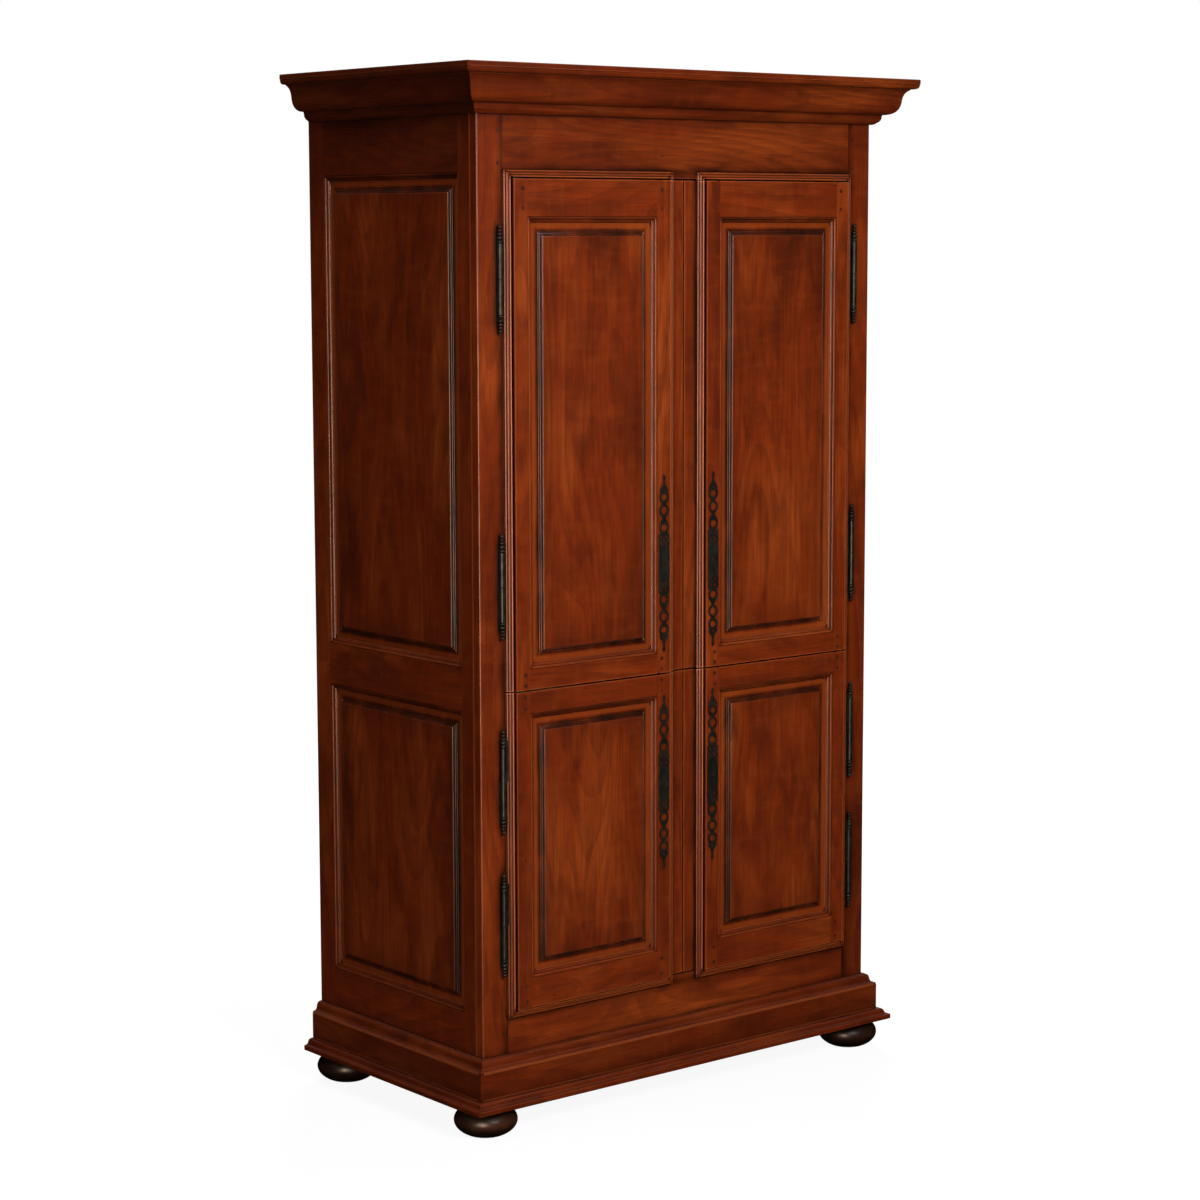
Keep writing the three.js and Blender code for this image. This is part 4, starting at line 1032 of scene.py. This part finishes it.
def half_barrel(name, middle, way, gap):
    """Half of a hinge barrel, from its middle to its tip, upwards (1) or downwards (-1)."""
    profile = [(0, gap * way), (barrel_radius - barrel_chamfer, gap * way)]
    profile += [(barrel_radius, (gap + barrel_chamfer) * way)]
    profile += [(radius, height * way) for radius, height in hinge_tip]
    return turned(name, profile, middle)


def hinge_plate(name, middle, low_reach, high_reach):
    """Thin plate behind the barrel, with the web that holds the barrel off it."""
    back = middle + Y * plate_back
    plate = board(name, back - X * plate_outer - Y * plate_thickness + Z * low_reach,
                  back + X * plate_inner + Z * high_reach, plate_ease)
    web = board(f"{name}_web", middle - X * web_half + Z * low_reach,
                back + X * web_half + Z * high_reach, plate_ease)
    return one_piece(name, [plate, web])


for place in (1, 2):
    node = f"upper_hinge_left_{place}"
    low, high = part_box(node)
    middle = Vector((low.x + barrel_inset, face_plane - barrel_proud, (low.z + high.z) / 2))
    core = board(f"{node}_core", middle - core_half, middle + core_half)
    hinge = one_piece(f"upper_left_barrel_hinge_{place}", [
        half_barrel("upper_half", middle, 1, split_gap),
        half_barrel("lower_half", middle, -1, split_gap),
        hinge_plate("plate", middle, -plate_half, plate_half),
        core,
    ])
    both_sides(hinge, "carcase", "grey_iron", hinge_iron, node)
for place in (1, 2):
    node = f"lower_hinge_left_{place}"
    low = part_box(f"{node}_frame_knuckle")[0]
    middle = Vector((low.x + barrel_inset, face_plane - barrel_proud, low.z + knuckle_drop))
    fixed = one_piece(f"lower_left_fixed_knuckle_{place}", [
        half_barrel("lower_half", middle, -1, 0),
        hinge_plate("plate", middle, -plate_half, -running),
    ])
    both_sides(fixed, "carcase", "grey_iron", hinge_iron, f"{node}_frame_knuckle")
    leaf = board("leaf", middle + Vector((0, -leaf_half, running)),
                 middle + Vector((plate_inner, leaf_half, plate_half)), plate_ease)
    barrel = half_barrel("upper_half", middle, 1, running)
    moving = one_piece(f"lower_left_moving_knuckle_{place}", [barrel, leaf])
    both_sides(moving, "lower_left_leaf", "grey_iron", hinge_iron, f"{node}_door_knuckle")


# Escutcheons: long pierced plates of blackened iron, one on each door's closing stile. A plain middle with the
# keyhole stands between two chains of loops. First the edge of a quarter, as half width and height above the
# middle, then the holes of a quarter, as place, half width and half height.
plate_outline = [
    (0.013, 0.031), (0.0116, 0.0335), (0.0132, 0.036), (0.0142, 0.0415), (0.0126, 0.048),
    (0.0142, 0.0545), (0.0128, 0.0605), (0.0084, 0.0635), (0.0104, 0.0675), (0.0118, 0.075), (0.0102, 0.0835),
    (0.0058, 0.0905), (0.003, 0.095), (0.0062, 0.0985), (0.0106, 0.104), (0.012, 0.1105), (0.0104, 0.1165),
    (0.0058, 0.1215), (0.0034, 0.1245), (0.008, 0.1275), (0.0114, 0.133), (0.012, 0.14), (0.0098, 0.1465),
    (0.0108, 0.151), (0.0084, 0.1565), (0.0046, 0.1605), (0.0024, 0.166), (0.0014, 0.172),
    (0.0028, 0.1755), (0.0026, 0.179), (0.0008, 0.1834),
]
plate_holes = [
    (0, 0.0335, 0.0016, 0.0014), (0.0062, 0.041, 0.0036, 0.003), (0.0062, 0.0555, 0.0036, 0.003),
    (0, 0.0482, 0.003, 0.0026), (0, 0.0385, 0.0014, 0.002), (0, 0.0585, 0.0014, 0.002),
    (0, 0.0745, 0.0082, 0.0082), (0, 0.1103, 0.0084, 0.0094), (0, 0.1376, 0.0082, 0.0076),
    (0.0062, 0.1508, 0.0016, 0.0016), (0, 0.1525, 0.0026, 0.0042),
]
escutcheon_thick = 0.0017
plate_curve = bpy.data.curves.new("left_escutcheon", "CURVE")
plate_curve.dimensions = "2D"
plate_curve.fill_mode = "BOTH"
plate_curve.resolution_u = 3
plate_curve.bevel_depth = 0.0004
plate_curve.bevel_resolution = 2
plate_curve.extrude = escutcheon_thick / 2 - plate_curve.bevel_depth
plate_curve.offset = -plate_curve.bevel_depth


def closed_line(points, handle="AUTO"):
    """One closed edge of the plate, its outside or a hole."""
    spline = plate_curve.splines.new("BEZIER")
    spline.bezier_points.add(len(points) - 1)
    spline.use_cyclic_u = True
    for knot, (x, y) in zip(spline.bezier_points, points):
        knot.co = (x, y, 0)
        knot.handle_left_type = knot.handle_right_type = handle


closed_line(
    plate_outline + [(-x, y) for x, y in reversed(plate_outline)]
    + [(-x, -y) for x, y in plate_outline] + [(x, -y) for x, y in reversed(plate_outline)])
hole_steps = 8
for x, y, half_width, half_height in plate_holes:
    for side in (1, -1) if x else (1,):
        for end in (1, -1):
            closed_line([(
                side * x + half_width * math.cos(2 * math.pi * step / hole_steps),
                end * y + half_height * math.sin(2 * math.pi * step / hole_steps),
            ) for step in range(hole_steps)])
keyhole_radius, slot_half, slot_top, slot_foot = 0.003, 0.0013, -0.0035, -0.009
keyhole = [(keyhole_radius * math.sin(turn), keyhole_radius * math.cos(turn))
           for turn in (-2.7, -1.8, -0.9, 0, 0.9, 1.8, 2.7)]
keyhole += [(slot_half, slot_top), (slot_half, slot_foot), (-slot_half, slot_foot), (-slot_half, slot_top)]
closed_line(keyhole, "VECTOR")
escutcheon = bpy.data.objects.new("pattern_escutcheon", plate_curve)
scene.collection.objects.link(escutcheon)
pick(escutcheon)
bpy.ops.object.convert(target="MESH")
escutcheon = bpy.context.object
whole_in_edit()
bpy.ops.mesh.remove_doubles(threshold=0.00001)
faced_out()
smoothed(escutcheon)
for tier in ("upper", "lower"):
    node = f"{tier}_escutcheon_left"
    low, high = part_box(node)
    plate = copied(escutcheon, f"{tier}_left_escutcheon")
    plate.rotation_euler.x = math.pi / 2
    plate.location = (low + high) / 2
    settled()
    both_sides(plate, f"{tier}_left_leaf", "black_iron", plate_iron, node)
bpy.data.objects.remove(escutcheon)


# Pocket carriages: iron strips with shoes that run in the grooved runners, and with brackets on which the upper
# doors turn.
for side in ("left", "right"):
    node = f"pocket_carriage_{side}"
    carriage = eased_copy(f"{node}_eased", node, plate_ease)
    fitted(carriage, f"upper_{side}_carriage", "grey_iron", hinge_iron, node)
